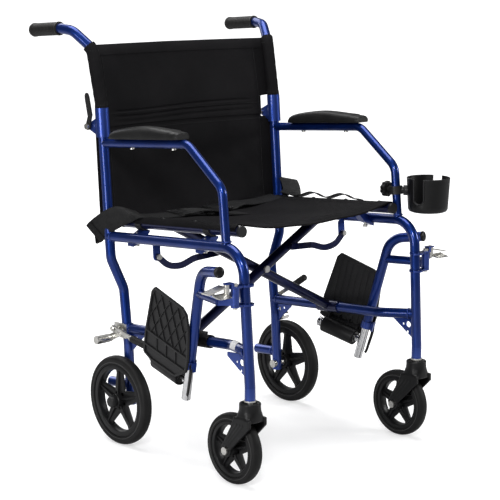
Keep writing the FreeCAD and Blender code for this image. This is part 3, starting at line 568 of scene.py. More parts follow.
def seat_profile(y, lift=0.0, outer=172.0):
    """Points of the seat sheet across the chair at y, from the right rail to the left one."""
    centre_z = rail_z(SEAT_RAIL_Z, y)
    radius = SEAT_SHEET_R + lift
    edge = SEAT_X - radius * math.cos(SEAT_LEAVE)
    edge_z = radius * math.sin(SEAT_LEAVE)
    rail = []
    for angle in spaced(outer, math.degrees(SEAT_LEAVE), 9):
        turn = math.radians(angle)
        rail.append((SEAT_X - radius * math.cos(turn), radius * math.sin(turn)))
    row = [(-x, z) for x, z in rail]
    row += [(x, edge_z - SEAT_SAG * (1 - (x / edge) ** 2)) for x in spaced(-edge, edge, 41)[1:-1]]
    row += rail[::-1]
    droop = -5.0 * smoothstep((SEAT_FRONT_Y + 20 - y) / 20)
    points = []
    for x, z in row:
        inner = max(0.0, 1 - abs(x / edge) ** 4)
        points.append(Vector((x, y, centre_z + z + inner * (seat_wave(x, y) + droop))))
    return points


def seat_height(x, y, lift):
    """A point lift above the seat sheet."""
    edge = SEAT_X - SEAT_SHEET_R * math.cos(SEAT_LEAVE)
    z = rail_z(SEAT_RAIL_Z, y) + SEAT_SHEET_R * math.sin(SEAT_LEAVE)
    share = min(1.0, abs(x) / edge)
    z += -SEAT_SAG * (1 - share ** 2) + (1 - share ** 4) * seat_wave(x, y)
    return Vector((x, y, z + 1.1 + lift))


def seat_sling():
    rows = spaced(SEAT_REAR_Y, SEAT_FRONT_Y, 60)
    parts = [(sheet([seat_profile(y) for y in rows], 2.2), "fabric")]
    for low, high in ((SEAT_REAR_Y - 1, SEAT_REAR_Y - 25), (SEAT_FRONT_Y + 27, SEAT_FRONT_Y - 0.5)):
        hem = [seat_profile(y, 1.6, 150.0) for y in spaced(low, high, 8)]
        parts.append((sheet(hem, 1.6), "fabric"))
        for y in (low, high):
            inset = y + (3 if y < (low + high) / 2 else -3)
            seam = [p + Vector((0, 0, 2.6)) for p in seat_profile(inset, 0.0, 120.0)]
            parts.append((stitches(seam[4:-4], (0, 0, 1)), "thread"))
    for x in (-200, 200):
        seam = [seat_height(x, y, 0.2) for y in spaced(-25, SEAT_FRONT_Y + 30, 30)]
        parts.append((stitches(seam, (0, 0, 1)), "thread"))
    obj = piece("seat_sling", parts, smooth=60)
    blend(obj, "brace_rear", "brace_front", SEAT_BLEND, "right_seat_sling", "left_seat_sling")


def rail_screws():
    """The screws that hold the sling on its rails."""
    for name, side, body in (("right", -1, "brace_rear"), ("left", 1, "brace_front")):
        shapes = []
        for y in (-20, -118, -222, -325):
            z = rail_z(SEAT_RAIL_Z, y) + SEAT_SHEET_R + 1.0
            shapes.append(lathed([(0, 2.2), (2.0, 2.0), (3.8, 1.0), (4.4, 0), (4.4, -1.5), (0, -1.5)],
                                 (side * SEAT_X, y, z), (0, 0, 1), 20))
        ride(piece(name + "_sling_screws", [(merged(shapes), "plastic")]), body)


def ribbon(path, width, thick, across):
    """Webbing along a path. across gives the width direction for 0..1 of the path."""
    path = [Vector(p) for p in path]
    grid = []
    for i, middle in enumerate(path):
        side = across(i / (len(path) - 1)).normalized()
        grid.append([middle + side * width * share for share in spaced(-0.5, 0.5, 9)])
    return sheet(grid, thick)


def curve_through(points, steps=10):
    """A smooth path through points."""
    points = [Vector(p) for p in points]
    padded = [points[0] * 2 - points[1]] + points + [points[-1] * 2 - points[-2]]
    path = []
    for a, b, c, d in zip(padded, padded[1:], padded[2:], padded[3:]):
        for step in range(steps):
            t = step / steps
            path.append(0.5 * ((2 * b) + (c - a) * t + (2 * a - 5 * b + 4 * c - d) * t * t
                               + (3 * b - a - 3 * c + d) * t ** 3))
    path.append(points[-1])
    return path


BELT_RUNS = {
    "right": ((-214, -16, 2), (-170, -22, 3), (-120, -34, 6), (-84, -44, 12), (-52, -50, 5), (-26, -58, 3)),
    "left": ((214, -8, 2), (165, -6, 3), (120, -8, 8), (84, -10, 12), (56, -12, 6), (38, -12, 5)),
    "tail": ((-96, -36, 12), (-60, -66, 14), (-22, -92, 6), (22, -100, 3)),
}


def lap_belt():
    """Webbing and a buckle that lie loose on the rear of the seat. A run is (x, y, height over the seat)."""
    parts = []
    for run, width, across in (("right", 48, (0, -1, -0.07)), ("left", 48, (0, -1, -0.07)),
                               ("tail", 40, (0.35, -1, -0.07))):
        path = curve_through([seat_height(*point) for point in BELT_RUNS[run]])
        parts.append((ribbon(path, width, 2.0, lambda _, across=across: Vector(across)), "webbing"))
    parts.append((buckle(seat_height(20, -12, 9), 1), "plastic"))
    parts.append((buckle(seat_height(-30, -56, 8), -1), "plastic"))
    parts.append((slider(seat_height(-112, -34, 10)), "plastic"))
    obj = piece("lap_belt", parts, smooth=50)
    blend(obj, "brace_rear", "brace_front", SEAT_BLEND, "right_lap_belt", "left_lap_belt")


def buckle(middle, side):
    """A side-release buckle half: a rounded body with a slot bar at its webbing end."""
    body = swept([middle + Vector((side * x, 0, -0.3)) for x in (-30, -27, -12, 8, 18, 20)],
                 lambda t: rectangle(46 - 10 * (1 - smoothstep(t * 3)), 12 - 5 * abs(t - 0.4), 3.0),
                 up=Vector((0, 0, 1)))
    pin = swept([middle + Vector((side * 26, -24, 0)), middle + Vector((side * 26, 24, 0))], circle(2.4, 12))
    arms = [bar(middle + Vector((side * 17, y, 0)), middle + Vector((side * 27, y, 0)), 4, 5, (0, 0, 1), 1.0)
            for y in (-23, 23)]
    return merged([body, pin] + arms)


def slider(middle):
    def rod(start, end):
        return bar(middle + Vector(start), middle + Vector(end), 4, 3.2, (0, 0, 1), 1.0)

    bars = [rod((x, -28, 0), (x, 28, 0)) for x in (-11, 0, 11)]
    ends = [rod((-13, y, 0), (13, y, 0)) for y in (-27, 27)]
    return merged(bars + ends)


BELT_PATHS = {
    "right": ((222, -36, 517), (240, -24, 520), (255, -5, 515), (266, 18, 502), (270, 42, 487),
              (271, 58, 476), (270, 68, 468)),
    "left": ((222, -40, 517), (240, -30, 522), (254, -12, 534), (264, 8, 545), (270, 22, 543), (272, 36, 524),
             (271, 50, 500), (266, 62, 482)),
}
BELT_ACROSS = {"right": (-0.38, -0.54, -0.75), "left": (0.34, -0.90, -0.10)}


def belt_anchor(name, side):
    """One end of the lap belt: a broad band over the rear corner of the seat, down to the post."""
    path = curve_through([(side * x, y, z) for x, y, z in BELT_PATHS[name]])
    tilt = BELT_ACROSS[name]
    upright = Vector((side * tilt[0], tilt[1], tilt[2])).normalized()
    flat = Vector((side * 0.2, -0.9, -0.15)).normalized()

    def across(t):
        return flat.lerp(upright, smoothstep(t * 2.2))

    end = path[-14:]
    normal = (end[-1] - end[0]).cross(upright).normalized() * side
    if normal.x * side < 0:
        normal = -normal
    parts = [(ribbon(path, 50, 2.2, across), "webbing")]
    for lift in (2.2, -2.2):
        parts.append((ribbon([p + normal * lift for p in end], 50, 2.4, lambda t: upright), "webbing"))
    for point in end[1::2]:
        middle = point + normal * 3.4
        ridge = [middle - upright * 24.5, middle + upright * 24.5]
        parts.append((swept(ridge, circle(0.8, 8)), "webbing"))
    for row in (-22, 22):
        line = [p + across(i / len(path)) * row + normal * 1.2 for i, p in enumerate(path)]
        parts.append((stitches(line[30:-14], normal), "thread"))
    back = curve_through([path[-1], path[-1] + Vector((-side * 8, 2, -2)), (side * 252, 62, 474),
                          (side * 242, 54, 476)])
    parts.append((ribbon(back, 44, 2.0, lambda t: Vector((0, 0.2, 0.98))), "webbing"))
    ride(piece(name + "_belt_anchor", parts, smooth=55), name + "_frame", name + "_straps")


def blank_label():
    """A plain pale label on the right lower rail; nothing is printed on it."""
    rows = []
    for y in spaced(-347, -374, 8):
        share = (y + 335) / (-412 + 335)
        centre = Vector((-SEAT_X - 29.5 * share, y, rail_z(LOWER_RAIL_Z, y)))
        rows.append([centre + Vector((math.cos(a), 0, math.sin(a))) * (TUBE_R + 1.2)
                     for a in spaced(math.radians(50), math.radians(190), 16)])
    ride(piece("blank_label", [(sheet(rows, 0.3), "label")], smooth=60), "right_frame")


def rail_strip():
    """A loose strip of webbing along the left seat rail, which bows up between its fixings."""
    path = []
    for y in spaced(-48, -262, 60):
        bow = 10.0 * math.sin(math.pi * (y + 58) / 96) ** 2 if -250 < y < -58 else 0.0
        path.append((233.0 + 0.25 * bow, y, rail_z(SEAT_RAIL_Z, y) + SEAT_SHEET_R + 1.8 + bow))
    strip = ribbon(path, 17, 2.0, lambda t: Vector((0.96, 0, -0.26)))
    ride(piece("left_rail_strip", [(strip, "webbing")], smooth=55), "brace_front")


def tie_strap():
    """A wide strap wrapped round the right lower rail, with a loose hooked tail."""
    y_rear, y_front = -228.0, -270.0
    rows = []
    for y in spaced(y_rear, y_front, 8):
        centre = Vector((-SEAT_X, y, rail_z(LOWER_RAIL_Z, y)))
        ring = []
        for step in range(37):
            angle = math.radians(-70 + step * 11.5)
            radius = TUBE_R + 1.4 + step * 0.045
            ring.append(centre + Vector((math.cos(angle) * radius, 0, math.sin(angle) * radius)))
        rows.append(ring)
    parts = [(sheet(rows, 1.8), "webbing")]
    start = Vector((-SEAT_X - 13.0, -249, rail_z(LOWER_RAIL_Z, -249)))
    hooked = ((0.5, 0, -6), (-1.5, 0, 3), (-3, -6, 13), (-6, -14, 22), (-11, -21, 28), (-17, -24, 24),
              (-17, -23, 17))
    tail = curve_through([start + Vector(p) for p in hooked])
    parts.append((ribbon(tail, 36, 1.8, lambda t: Vector((0, 1, -0.07))), "webbing"))
    ride(piece("right_tie_strap", parts, smooth=55), "right_frame")


# ---------------------------------------------------------------- back

BACK_SAG = 28.0
PLEATS = (711.0, 722.0, 734.0)
PLEAT_DEEP = 2.6
PLEAT_WIDE = 2.6
SLIT_X = 231.0
SHEET_BACK = 13.2
BACK_BLEND = 70.0


def back_crease(x, z):
    """Soft folds that fan down from the upper corners of a panel, and slow waves across it."""
    wave = 1.1 * math.sin(x * 0.031 + z * 0.045) + 0.8 * math.sin(x * 0.052 - z * 0.027 + 0.7)
    for corner in (-190, 190):
        ridge = (x - corner * (1 - (700 - z) / 420)) / 26
        wave += 1.6 * math.exp(-ridge * ridge) * smoothstep((z - 500) / 120)
    wave += 0.7 * math.sin(x * 0.10 + z * 0.055 + 2.0 * math.sin(z * 0.021)) * smoothstep((abs(x) - 60) / 120)
    for height in PLEATS:
        off = (z - height - 3.0 * math.sin(x * 0.012)) / PLEAT_WIDE
        wave += PLEAT_DEEP * math.exp(-off * off) * smoothstep((212 - abs(x)) / 24)
    return wave


def back_row(z, half_width, lift=0.0):
    """Points of the back sheet across the chair at height z."""
    row = []
    for x in spaced(-half_width, half_width, 61):
        share = abs(x) / RAIL_X
        cane = cane_point(1, z)
        sag = BACK_SAG * max(0.0, 1 - min(1.0, share) ** 1.7)
        wave = back_crease(x, z) * max(0.0, 1 - share ** 4)
        row.append(Vector((x, cane.y + SHEET_BACK + sag + wave + lift, z)))
    return row


def width_at(z, levels):
    """Half the sheet's width at height z, from a list of (height, half width)."""
    for (low, wide_low), (high, wide_high) in zip(levels, levels[1:]):
        if z <= high:
            return wide_low + (wide_high - wide_low) * (z - low) / (high - low)
    return levels[-1][1]


def back_sheet(name, levels, hems, seams, panels, tucked=None):
    """One sheet of the back, sagging between the canes, in place of its two panels. A hem is (low, high,
    offset).
    """
    low, high = levels[0][0], levels[-1][0]
    fine = [z for z in spaced(700, 744, 31) if low < z < high]
    heights = sorted(set(spaced(low, high, 34) + fine + [z for z, _ in levels]))
    behind = [3.0 * smoothstep((z - tucked) / 8) if tucked else 0.0 for z in heights]
    grid = [back_row(z, width_at(z, levels), deep) for z, deep in zip(heights, behind)]
    parts = [(sheet(grid, 2.4), "fabric")]
    for hem_low, hem_high, offset in hems:
        rows = [back_row(z, width_at(z, levels) - 1.5, offset) for z in spaced(hem_low, hem_high, 6)]
        parts.append((sheet(rows, 1.6), "fabric"))
    for z in seams:
        for offset in (-1.6, 1.6):
            wide = width_at(z, levels) - 6
            parts.append((stitches(back_row(z, wide, offset), (0, math.copysign(1, offset), 0)), "thread"))
    for x in (-SLIT_X + 6, SLIT_X - 6):
        line = []
        for z in spaced(low + 6, high - 6, 24):
            row = back_row(z, abs(x), -1.6)
            line.append(row[0] if x < 0 else row[-1])
        parts.append((stitches(line, (0, -1, 0)), "thread"))
    obj = piece(name, parts, smooth=60)
    blend(obj, *panels, BACK_BLEND, *panels)


def back_upholstery():
    upper = [(700.0, SLIT_X), (743.0, SLIT_X), (745.5, 252.0), (878.0, 259.0)]
    lower = [(478.0, 262.0), (500.0, 268.0), (692.0, 266.0), (694.5, SLIT_X), (714.0, SLIT_X)]
    upper_hems = [(856, 877, -1.8), (856, 877, 1.8), (701, 717, -1.6)]
    lower_hems = [(479, 500, -1.8), (479, 500, 1.8)]
    upper_panels = ("right_back_panel_upper", "left_back_panel_upper")
    lower_panels = ("right_back_panel_lower", "left_back_panel_lower")
    back_sheet("back_upper", upper, upper_hems, (859.0, 874.0, 716.5, 728.0), upper_panels)
    back_sheet("back_lower", lower, lower_hems, (497.0, 690.0), lower_panels, tucked=690.0)


def cane_sleeve(name, side):
    """The sewn sleeve of the upholstery that slips over the upper cane."""
    path = [cane_point(side, z) for z in spaced(745, 878, 40)]
    bore = circle(11.5, 40)

    def profile(t):
        ring = []
        for i in range(40):
            angle = 2 * math.pi * i / 40
            crease = 0.5 * math.sin(t * 31 + angle * 2) + 0.35 * math.sin(t * 57 + angle * 3 + side)
            hem = 0.5 if t < 0.06 or t > 0.94 else 0.0
            radius = 13.9 + 0.35 * crease + hem
            ring.append((radius * math.cos(angle), radius * math.sin(angle)))
        return ring

    shapes = [swept(path, profile, caps=False), swept(path, bore, caps=False)]
    frames = frames_along(path)
    for t in (0, -1):
        _, across, over = frames[t]
        shapes.append(ring_face(path[t], across, over, profile(-t), bore))
    parts = [(merged(shapes), "fabric")]
    for t in (0.07, 0.93):
        middle = path[int(t * 39)]
        turns = spaced(0, 2 * math.pi, 40)
        ring = [middle + Vector((math.cos(a) * 14.4, math.sin(a) * 14.4, 0)) for a in turns]
        parts.append((stitches(ring, (0, 0, 0)), "thread"))
    ride(piece(name + "_back_sleeve", parts, smooth=60), name + "_back")


def ring_face(middle, across, over, outer, inner):
    points = [middle + across * a + over * b for a, b in outer + inner]
    count = len(outer)
    faces = [(i, (i + 1) % count, count + (i + 1) % count, count + i) for i in range(count)]
    return points, faces


def push_grip(name, side):
    start = Vector((side * 289.0, 150, 914))
    end = Vector((side * 291.0, 246, 908))
    along = (end - start).normalized()
    profile = [(11.2, 4.0), (13.2, 4.0), (15.2, 5.0), (15.4, 8.0), (13.9, 10.0)]
    distance = 12.0
    while distance < 88:
        profile += [(14.0, distance), (14.7, distance + 1.0), (14.7, distance + 2.6), (14.0, distance + 3.6)]
        distance += 5.2
    profile += [(14.0, 90.0), (15.3, 91.5), (15.5, 97.0), (14.2, 100.6), (9.0, 101.9), (0.0, 102.1)]
    profile += [(0.0, 98.4), (11.2, 98.3)]
    parts = [(lathed(profile, start, along, 48, loop=True), "grip")]
    ride(piece(name + "_handle_grip", parts, smooth=50), name + "_back", name + "_push_grip")


# ---------------------------------------------------------------- armrests

def pad_ring(wide, tall):
    """The pad's outline across the chair: flat below, crowned above."""
    points = [(-wide / 2 + 4, 0.0), (-wide / 2 + 0.8, 0.8), (-wide / 2, 4.0)]
    for i in range(1, 24):
        angle = math.pi * i / 24
        x = -math.copysign(abs(math.cos(angle)) ** 0.55, math.cos(angle)) * wide / 2
        points.append((x, 4.0 + (tall - 4.0) * math.sin(angle) ** 0.75))
    return points + [(wide / 2, 4.0), (wide / 2 - 0.8, 0.8), (wide / 2 - 4, 0.0)]


def pad_section(t):
    """The pad's place along itself, its width and its height, for 0..1 from rear to front."""
    s = 2 * t - 1
    end = 1 - abs(s) ** (14 if s > 0 else 7)
    crown = 27.5 - 9.0 * smoothstep((t - 0.45) / 0.55) - 6.0 * smoothstep((0.45 - t) / 0.45)
    nose = smoothstep((t - 0.90) / 0.012)
    blunt = 0.80 if s > 0 else 0.40
    tall = crown * (blunt + (1 - blunt) * end ** 0.5) - 2.0 * nose
    wide = 44.0 * (0.82 + 0.18 * end ** 0.6) - 2.0 * nose
    return s * 113.5, wide, max(6.0, tall)


def arm_pad(name, side):
    """A moulded foam pad: crowned along and across, with a stepped nose at its front end."""
    sections = [pad_section(t) for t in spaced(0, 1, 56)]
    centre_y, centre_z = arm_point(-112.0 if side < 0 else -128.0, ARM_TUBE_R + 0.2)
    forward = Vector((0, -math.cos(ARM_PITCH), math.sin(ARM_PITCH)))
    over = Vector((0, math.sin(ARM_PITCH), math.cos(ARM_PITCH)))
    points = []
    for distance, wide, tall in sections:
        middle = Vector((side * (RAIL_X + 3), centre_y, centre_z)) + forward * distance
        profile = pad_ring(wide, tall)
        points += [middle + Vector((x, 0, 0)) + over * z for x, z in profile]
    shape = skinned(points, len(sections), len(profile))
    obj = piece(name + "_arm_pad_foam", [(shape, "pad")], smooth=50)
    add_bevel(obj, 2.2)
    ride(obj, name + "_frame", name + "_arm_pad")


# ---------------------------------------------------------------- wheels

def tyre(prefix, body, centre, radius, half, rim_out, node):
    """A tyre with a raised line on each wall."""
    shoulder = radius - half * 0.6
    profile = [(rim_out, -half + 1.2), (rim_out + 3, -half), (shoulder - 3, -half)]
    for i in range(13):
        angle = -math.pi / 2 + math.pi * i / 12
        profile.append((shoulder + (radius - shoulder) * math.cos(angle) ** 0.8, half * math.sin(angle)))
    profile += [(shoulder - 3, half), (rim_out + 3, half), (rim_out, half - 1.2)]
    parts = [(lathed(profile, centre, (1, 0, 0), 96, loop=True), "tyre")]
    for side in (-1, 1):
        line = [(rim_out + 3.2, side * (half - 0.1)), (rim_out + 4.0, side * (half + 0.35)),
                (rim_out + 4.8, side * (half - 0.1))]
        parts.append((lathed(line, centre, (1, 0, 0), 96, loop=True), "tyre_line"))
    ride(piece(prefix + "_tyre_rubber", parts, smooth=50), body, node)


def mirrored(profile):
    """A profile of (radius, distance) from one end to its middle, and back out to the other end."""
    return [(r, -d) for r, d in profile] + [(r, d) for r, d in reversed(profile)]


def rim(prefix, body, centre, half, rim_out, rim_in, hub_r, hub_half, node):
    """A moulded rim: an outer band, a hub and five spokes."""
    lip = half - 1.8
    band = mirrored([(rim_in, lip - 3), (rim_in + 1.5, lip), (rim_out - 2, lip), (rim_out, lip - 1.0)])
    hub = mirrored([(6.1, hub_half), (hub_r - 3, hub_half), (hub_r - 1, hub_half - 1.5),
                    (hub_r, hub_half - 7)])
    shapes = [lathed(band, centre, (1, 0, 0), 96, loop=True), lathed(hub, centre, (1, 0, 0), 64, loop=True)]
    shapes += [spoke(centre, number * 72.0, hub_r, rim_in, half) for number in range(5)]
    ride(piece(prefix + "_rim_moulding", [(merged(shapes), "plastic")], smooth=35, bevel=0.7), body, node)


def spoke_ring(t, hub_r, half):
    """A spoke's section for 0..1 from hub to rim: a flat blade with a raised rib on both faces."""
    wide = (hub_r * 1.15) * (1 - t) + (hub_r * 0.62) * t
    if t > 0.85:
        wide *= 1 + (t - 0.85) * 3.2
    rib = half * 0.72 * (1 - t) + half * 0.45 * t
    blade, rib_wide = 3.0, 2.4
    right = [(wide, -blade + 1), (wide, blade - 1), (wide * 0.8, blade), (rib_wide, blade),
             (rib_wide * 0.6, rib)]
    left = [(-across, axial) for across, axial in reversed(right)]
    lower = [(across, -axial) for across, axial in reversed(right[2:])]
    return right + left + [(-across, axial) for across, axial in reversed(lower)] + lower


def spoke(centre, degrees, hub_r, rim_in, half):
    turn = Matrix.Rotation(math.radians(degrees), 3, "X")
    levels = spaced(0, 1, 7)
    points = []
    for t in levels:
        reach = hub_r * 0.7 + (rim_in + 1.5 - hub_r * 0.7) * t
        ring = spoke_ring(t, hub_r, half)
        points += [centre + turn @ Vector((axial, across, reach)) for across, axial in ring]
    return skinned(points, len(levels), len(ring))


def cut_away(obj, shapes):
    """Cuts the shapes out of a piece; the cutters go when it is baked."""
    cutters = [piece(f"{obj.name}_cut{number}", [(shape, "plastic")]) for number, shape in enumerate(shapes)]
    for cutter in cutters:
        cut = obj.modifiers.new("cut", "BOOLEAN")
        cut.operation = "DIFFERENCE"
        cut.object = cutter
        cut.solver = "EXACT"
    return cutters


def drop(objects):
    for obj in objects:
        bpy.data.objects.remove(obj)


def moulded(name, shapes, voxel, passes, cuts):
    """One smooth plastic moulding from overlapping shapes, less the cuts."""
    obj = piece(name, [(merged(shapes), "plastic")])
    skin = obj.modifiers.new("one_skin", "REMESH")
    skin.mode = "VOXEL"
    skin.voxel_size = voxel / 1000
    cutters = cut_away(obj, cuts)
    soften = obj.modifiers.new("soften", "SMOOTH")
    soften.factor = 0.5
    soften.iterations = passes
    bake(obj)
    drop(cutters)
    obj.data.shade_smooth()
    return obj


FORK_TOP = 182.0
FORK_Y = -420.0
CASTER_AXLE = (-373.0, CASTER_R)


def fork_skirt(x):
    """The part of the fork that widens from its round head into the arched crown."""
    levels = ((FORK_TOP - 8, 22.3, 22.3, 0.0), (FORK_TOP - 16, 22.8, 23, 0), (FORK_TOP - 26, 24.3, 24, 0.5),
              (FORK_TOP - 38, 25.4, 25, 1.0))
    points = []
    for z, wide, deep, shift in levels:
        power = 0.75 if wide > 23 else 1.0
        for i in range(48):
            angle = 2 * math.pi * i / 48
            cos, sin = math.cos(angle), math.sin(angle)
            points.append(Vector((x + math.copysign(abs(cos) ** power, cos) * wide,
                                  FORK_Y + shift + math.copysign(abs(sin) ** power, sin) * deep, z)))
    return skinned(points, len(levels), 48)


def fork_legs(x):
    """Two flat legs with a round boss at the axle and three raised ribs on each outer face."""
    y, top = FORK_Y, FORK_TOP
    axle_y, axle_z = CASTER_AXLE
    outline = [(y - 24, top - 30), (y + 24, top - 30), (y + 30, top - 48), (axle_y + 15, axle_z + 6),
               (axle_y + 10, axle_z - 9), (axle_y, axle_z - 13.5), (axle_y - 10, axle_z - 9),
               (axle_y - 14, axle_z + 4), (y - 24, top - 46)]
    legs = []
    for low in (-25.3, 18.3):
        legs.append(slab([(x + low, a, b) for a, b in outline], (7.0, 0, 0)))
        boss = [(0, 0), (13.6, 0), (13.6, 7.0), (0, 7.0)]
        legs.append(lathed(boss, (x + low, axle_y, axle_z), (1, 0, 0), 40))
    for outward in (-1, 1):
        face = x + outward * 25.3
        for shift in (-9, 0, 9):
            start = (face, y + 4 + shift, top - 44)
            end = (face, axle_y + shift * 0.75, axle_z + 12)
            legs.append(bar(start, end, 2.6, 2.0, (outward, 0, 0)))
    return legs


def caster_fork(name, side):
    """The caster fork: a round head, a skirt that widens into an arched crown, and two ribbed legs."""
    x, y, top = side * 252.0, FORK_Y, FORK_TOP
    head = [(0, -12), (22.2, -12), (22.5, -2), (21.5, 0), (17.5, 0), (16.8, -3), (9, -3.2), (0, -3.2)]
    shapes = [lathed(head, (x, y, top), (0, 0, 1), 64), fork_skirt(x)] + fork_legs(x)
    arch = [(y - 40, top - 44), (y - 12, top - 38), (y + 10, top - 28), (y + 60, top - 24),
            (y + 60, top - 100), (y - 40, top - 100)]
    hollow = slab([(x - 17.8, a, b) for a, b in arch], (35.6, 0, 0))
    obj = moulded(name + "_fork_moulding", shapes, 1.5, 3, [hollow])
    ride(obj, name + "_caster", name + "_caster_fork")
    stem = lathed([(0, -4), (6, -4), (6, 26), (0, 26)], (x, y, top), (0, 0, 1), 32)
    ride(piece(name + "_fork_stem", [(stem, "steel")]), name + "_caster")


def wheels():
    for name, side in SIDES.items():
        rear, body = Vector((side * 257.0, 0, REAR_R)), name + "_rear_wheel"
        tyre(name + "_rear", body, rear, REAR_R, 12.5, 82.0, name + "_rear_tyre")
        rim(name + "_rear", body, rear, 12.5, 82.0, 69.0, 16.0, 17.0, name + "_rear_rim")
        front, body = Vector((side * 252.0, *CASTER_AXLE)), name + "_caster_wheel"
        tyre(name + "_front", body, front, CASTER_R, 13.0, 60.0, name + "_caster_tyre")
        rim(name + "_front", body, front, 13.0, 60.0, 50.0, 14.0, 16.5, name + "_caster_rim")
        caster_fork(name, side)


# ---------------------------------------------------------------- footrests

HANGER_LEAN = math.radians(15.3)
HANGER_TURN = {"right": math.radians(15.0), "left": math.radians(17.0)}
EXTENSION_TURN = {"right": math.radians(14.0), "left": math.radians(3.0)}
BARREL_ROOT = (166.6, 194.0)
HANGER_OUT = 26.0
PLATE_OUT = 39.5
PLATE_FIELD = [(-12, 62), (-3, 128), (8, 156), (24, 166), (118, 172), (126, 160), (133.6, 66)]
PLATE_OUTLINE = [(-11, 30), (-12, 60), (-3, 128), (8, 156), (24, 166), (118, 172), (126, 160),
                 (134, 60), (132, 12), (104, 4), (22, 4)]


def hanger_point(name, out, along, up):
    """A point of the hanger: out from the hinge pin, back square to its tube, and up the tube."""
    sin, cos = math.sin(HANGER_LEAN), math.cos(HANGER_LEAN)
    back, high = BARREL_ROOT
    return pin_point(name, out, back + along * cos - up * sin, high + along * sin + up * cos)


def foot_point(name, out, along, up):
    """The same for the footplate, which is turned a little about the chrome tube."""
    turn = EXTENSION_TURN[name]
    apart = out - HANGER_OUT
    return hanger_point(name, HANGER_OUT + apart * math.cos(turn) + along * math.sin(turn),
                        along * math.cos(turn) - apart * math.sin(turn), up)


def pin_point(name, out, back, z):
    turn = HANGER_TURN[name]
    side = SIDES[name]
    x = out * math.cos(turn) - back * math.sin(turn)
    y = out * math.sin(turn) + back * math.cos(turn)
    return Vector((side * (285.0 + x), -412.0 + y, z))


def inside_outline(outline, start, end):
    """The part of the line from start to end that is inside an outline, or None."""
    hits = []
    sx, sy = start
    dx, dy = end[0] - sx, end[1] - sy
    for (ax, ay), (bx, by) in zip(outline, outline[1:] + outline[:1]):
        ex, ey = bx - ax, by - ay
        cross = dx * ey - dy * ex
        if abs(cross) < 1e-9:
            continue
        t = ((ax - sx) * ey - (ay - sy) * ex) / cross
        u = ((ax - sx) * dy - (ay - sy) * dx) / cross
        if 0 <= u < 1:
            hits.append(t)
    hits = sorted(h for h in hits if 0 <= h <= 1)
    if len(hits) < 2:
        return None
    low, high = hits[0], hits[-1]
    return (sx + dx * low, sy + dy * low), (sx + dx * high, sy + dy * high)


def inset(outline, distance):
    """The outline moved inwards, corner by corner."""
    result = []
    count = len(outline)
    for i in range(count):
        before, here, after = (Vector((*outline[(i + n) % count], 0)) for n in (-1, 0, 1))
        first = (here - before).normalized()
        second = (after - here).normalized()
        normal = (Vector((first.y, -first.x, 0)) + Vector((second.y, -second.x, 0))).normalized()
        stretch = distance / max(0.4, normal.dot(Vector((first.y, -first.x, 0))))
        moved = here + normal * stretch
        result.append((moved.x, moved.y))
    return result


def plate_rib(name, start, end, wide, low, high):
    """A straight rib of the footplate between two (along, up) points, from low to high outward."""
    middle = (low + high) / 2
    up = foot_point(name, high, *start) - foot_point(name, low, *start)
    return bar(foot_point(name, middle, *start), foot_point(name, middle, *end), wide, high - low, up)


def plate_shapes(name):
    """The plate: a thin base, a border, the crossed ribs of its underside and the bars of its tread."""
    base_low, base_high, rib_high = PLATE_OUT + 1.1, PLATE_OUT + 3.7, PLATE_OUT + 6.9
    rib_low = base_high - 0.5
    outline = [foot_point(name, base_low, *p) for p in PLATE_OUTLINE]
    shapes = [slab(outline, foot_point(name, base_high, *PLATE_OUTLINE[0]) - outline[0])]
    border = inset(PLATE_OUTLINE, 2.5)
    ribs = [(start, end, 4.6, rib_high) for start, end in zip(border, border[1:] + border[:1])]
    ribs.append(((-8, 62), (131, 66), 4.0, rib_high))
    field = inset(PLATE_FIELD, 3.0)
    for offset in range(-124, 270, 27):
        for lean in (-1, 1):
            line = inside_outline(field, (offset - lean * 62, 0), (offset + lean * 62, 220))
            if line:
                ribs.append((*line, 1.6, rib_high - 0.6))
    ribs += [((start, 34), (start + 4, 62), 1.8, rib_high - 0.9) for start in (26, 58, 90)]
    ribs.append(((-8, 32), (130, 33), 3.4, rib_high))
    shapes += [plate_rib(name, start, end, wide, rib_low, high) for start, end, wide, high in ribs]
    for along in range(4, 124, 15):
        line = inside_outline(inset(PLATE_OUTLINE, 7.0), (along, -20), (along + 6, 200))
        if line:
            shapes.append(plate_rib(name, *line, 8.5, base_low - 1.1, base_low + 0.5))
    return shapes


def barrel_shapes(name):
    """The barrel the plate turns on, its hood and web, and the saddles that join them to the plate."""
    start = foot_point(name, HANGER_OUT, 20.0, 0)
    profile = [(8.1, 0), (13.5, 0), (13.5, 3.5), (17.8, 3.5), (17.8, 0), (19.0, 0), (19.5, 1.5), (19.5, 84.5),
               (19.0, 86.0), (17.8, 86.0), (17.8, 82), (13.5, 82), (13.5, 86.0), (8.1, 86.0)]
    barrel = lathed(profile, start, foot_point(name, HANGER_OUT, 106.0, 0) - start, 64, loop=True)

    def between(outline, low, high):
        corners = [foot_point(name, out, low, up) for out, up in outline]
        return slab(corners, foot_point(name, 0, high, 0) - foot_point(name, 0, low, 0))

    saddle = [(HANGER_OUT, 19), (HANGER_OUT + 6, 18), (PLATE_OUT + 3, 6), (PLATE_OUT + 3, 34),
              (PLATE_OUT - 1.5, 30), (PLATE_OUT - 7, 23)]
    hood = [(HANGER_OUT + 4, 18.6), (HANGER_OUT + 11, 16.6), (HANGER_OUT + 15.5, 14.0), (PLATE_OUT + 2.5, 22),
            (PLATE_OUT + 2.5, 26), (HANGER_OUT + 8, 20.5)]
    web = [(PLATE_OUT - 7, -12), (PLATE_OUT + 2, -2), (PLATE_OUT + 2, 24), (PLATE_OUT - 9, 16)]
    shapes = [barrel, between(hood, 22, 104), between(web, 22, 104)]
    return shapes + [between(saddle, along - 2, along + 2) for along in (24, 50, 76, 100)]


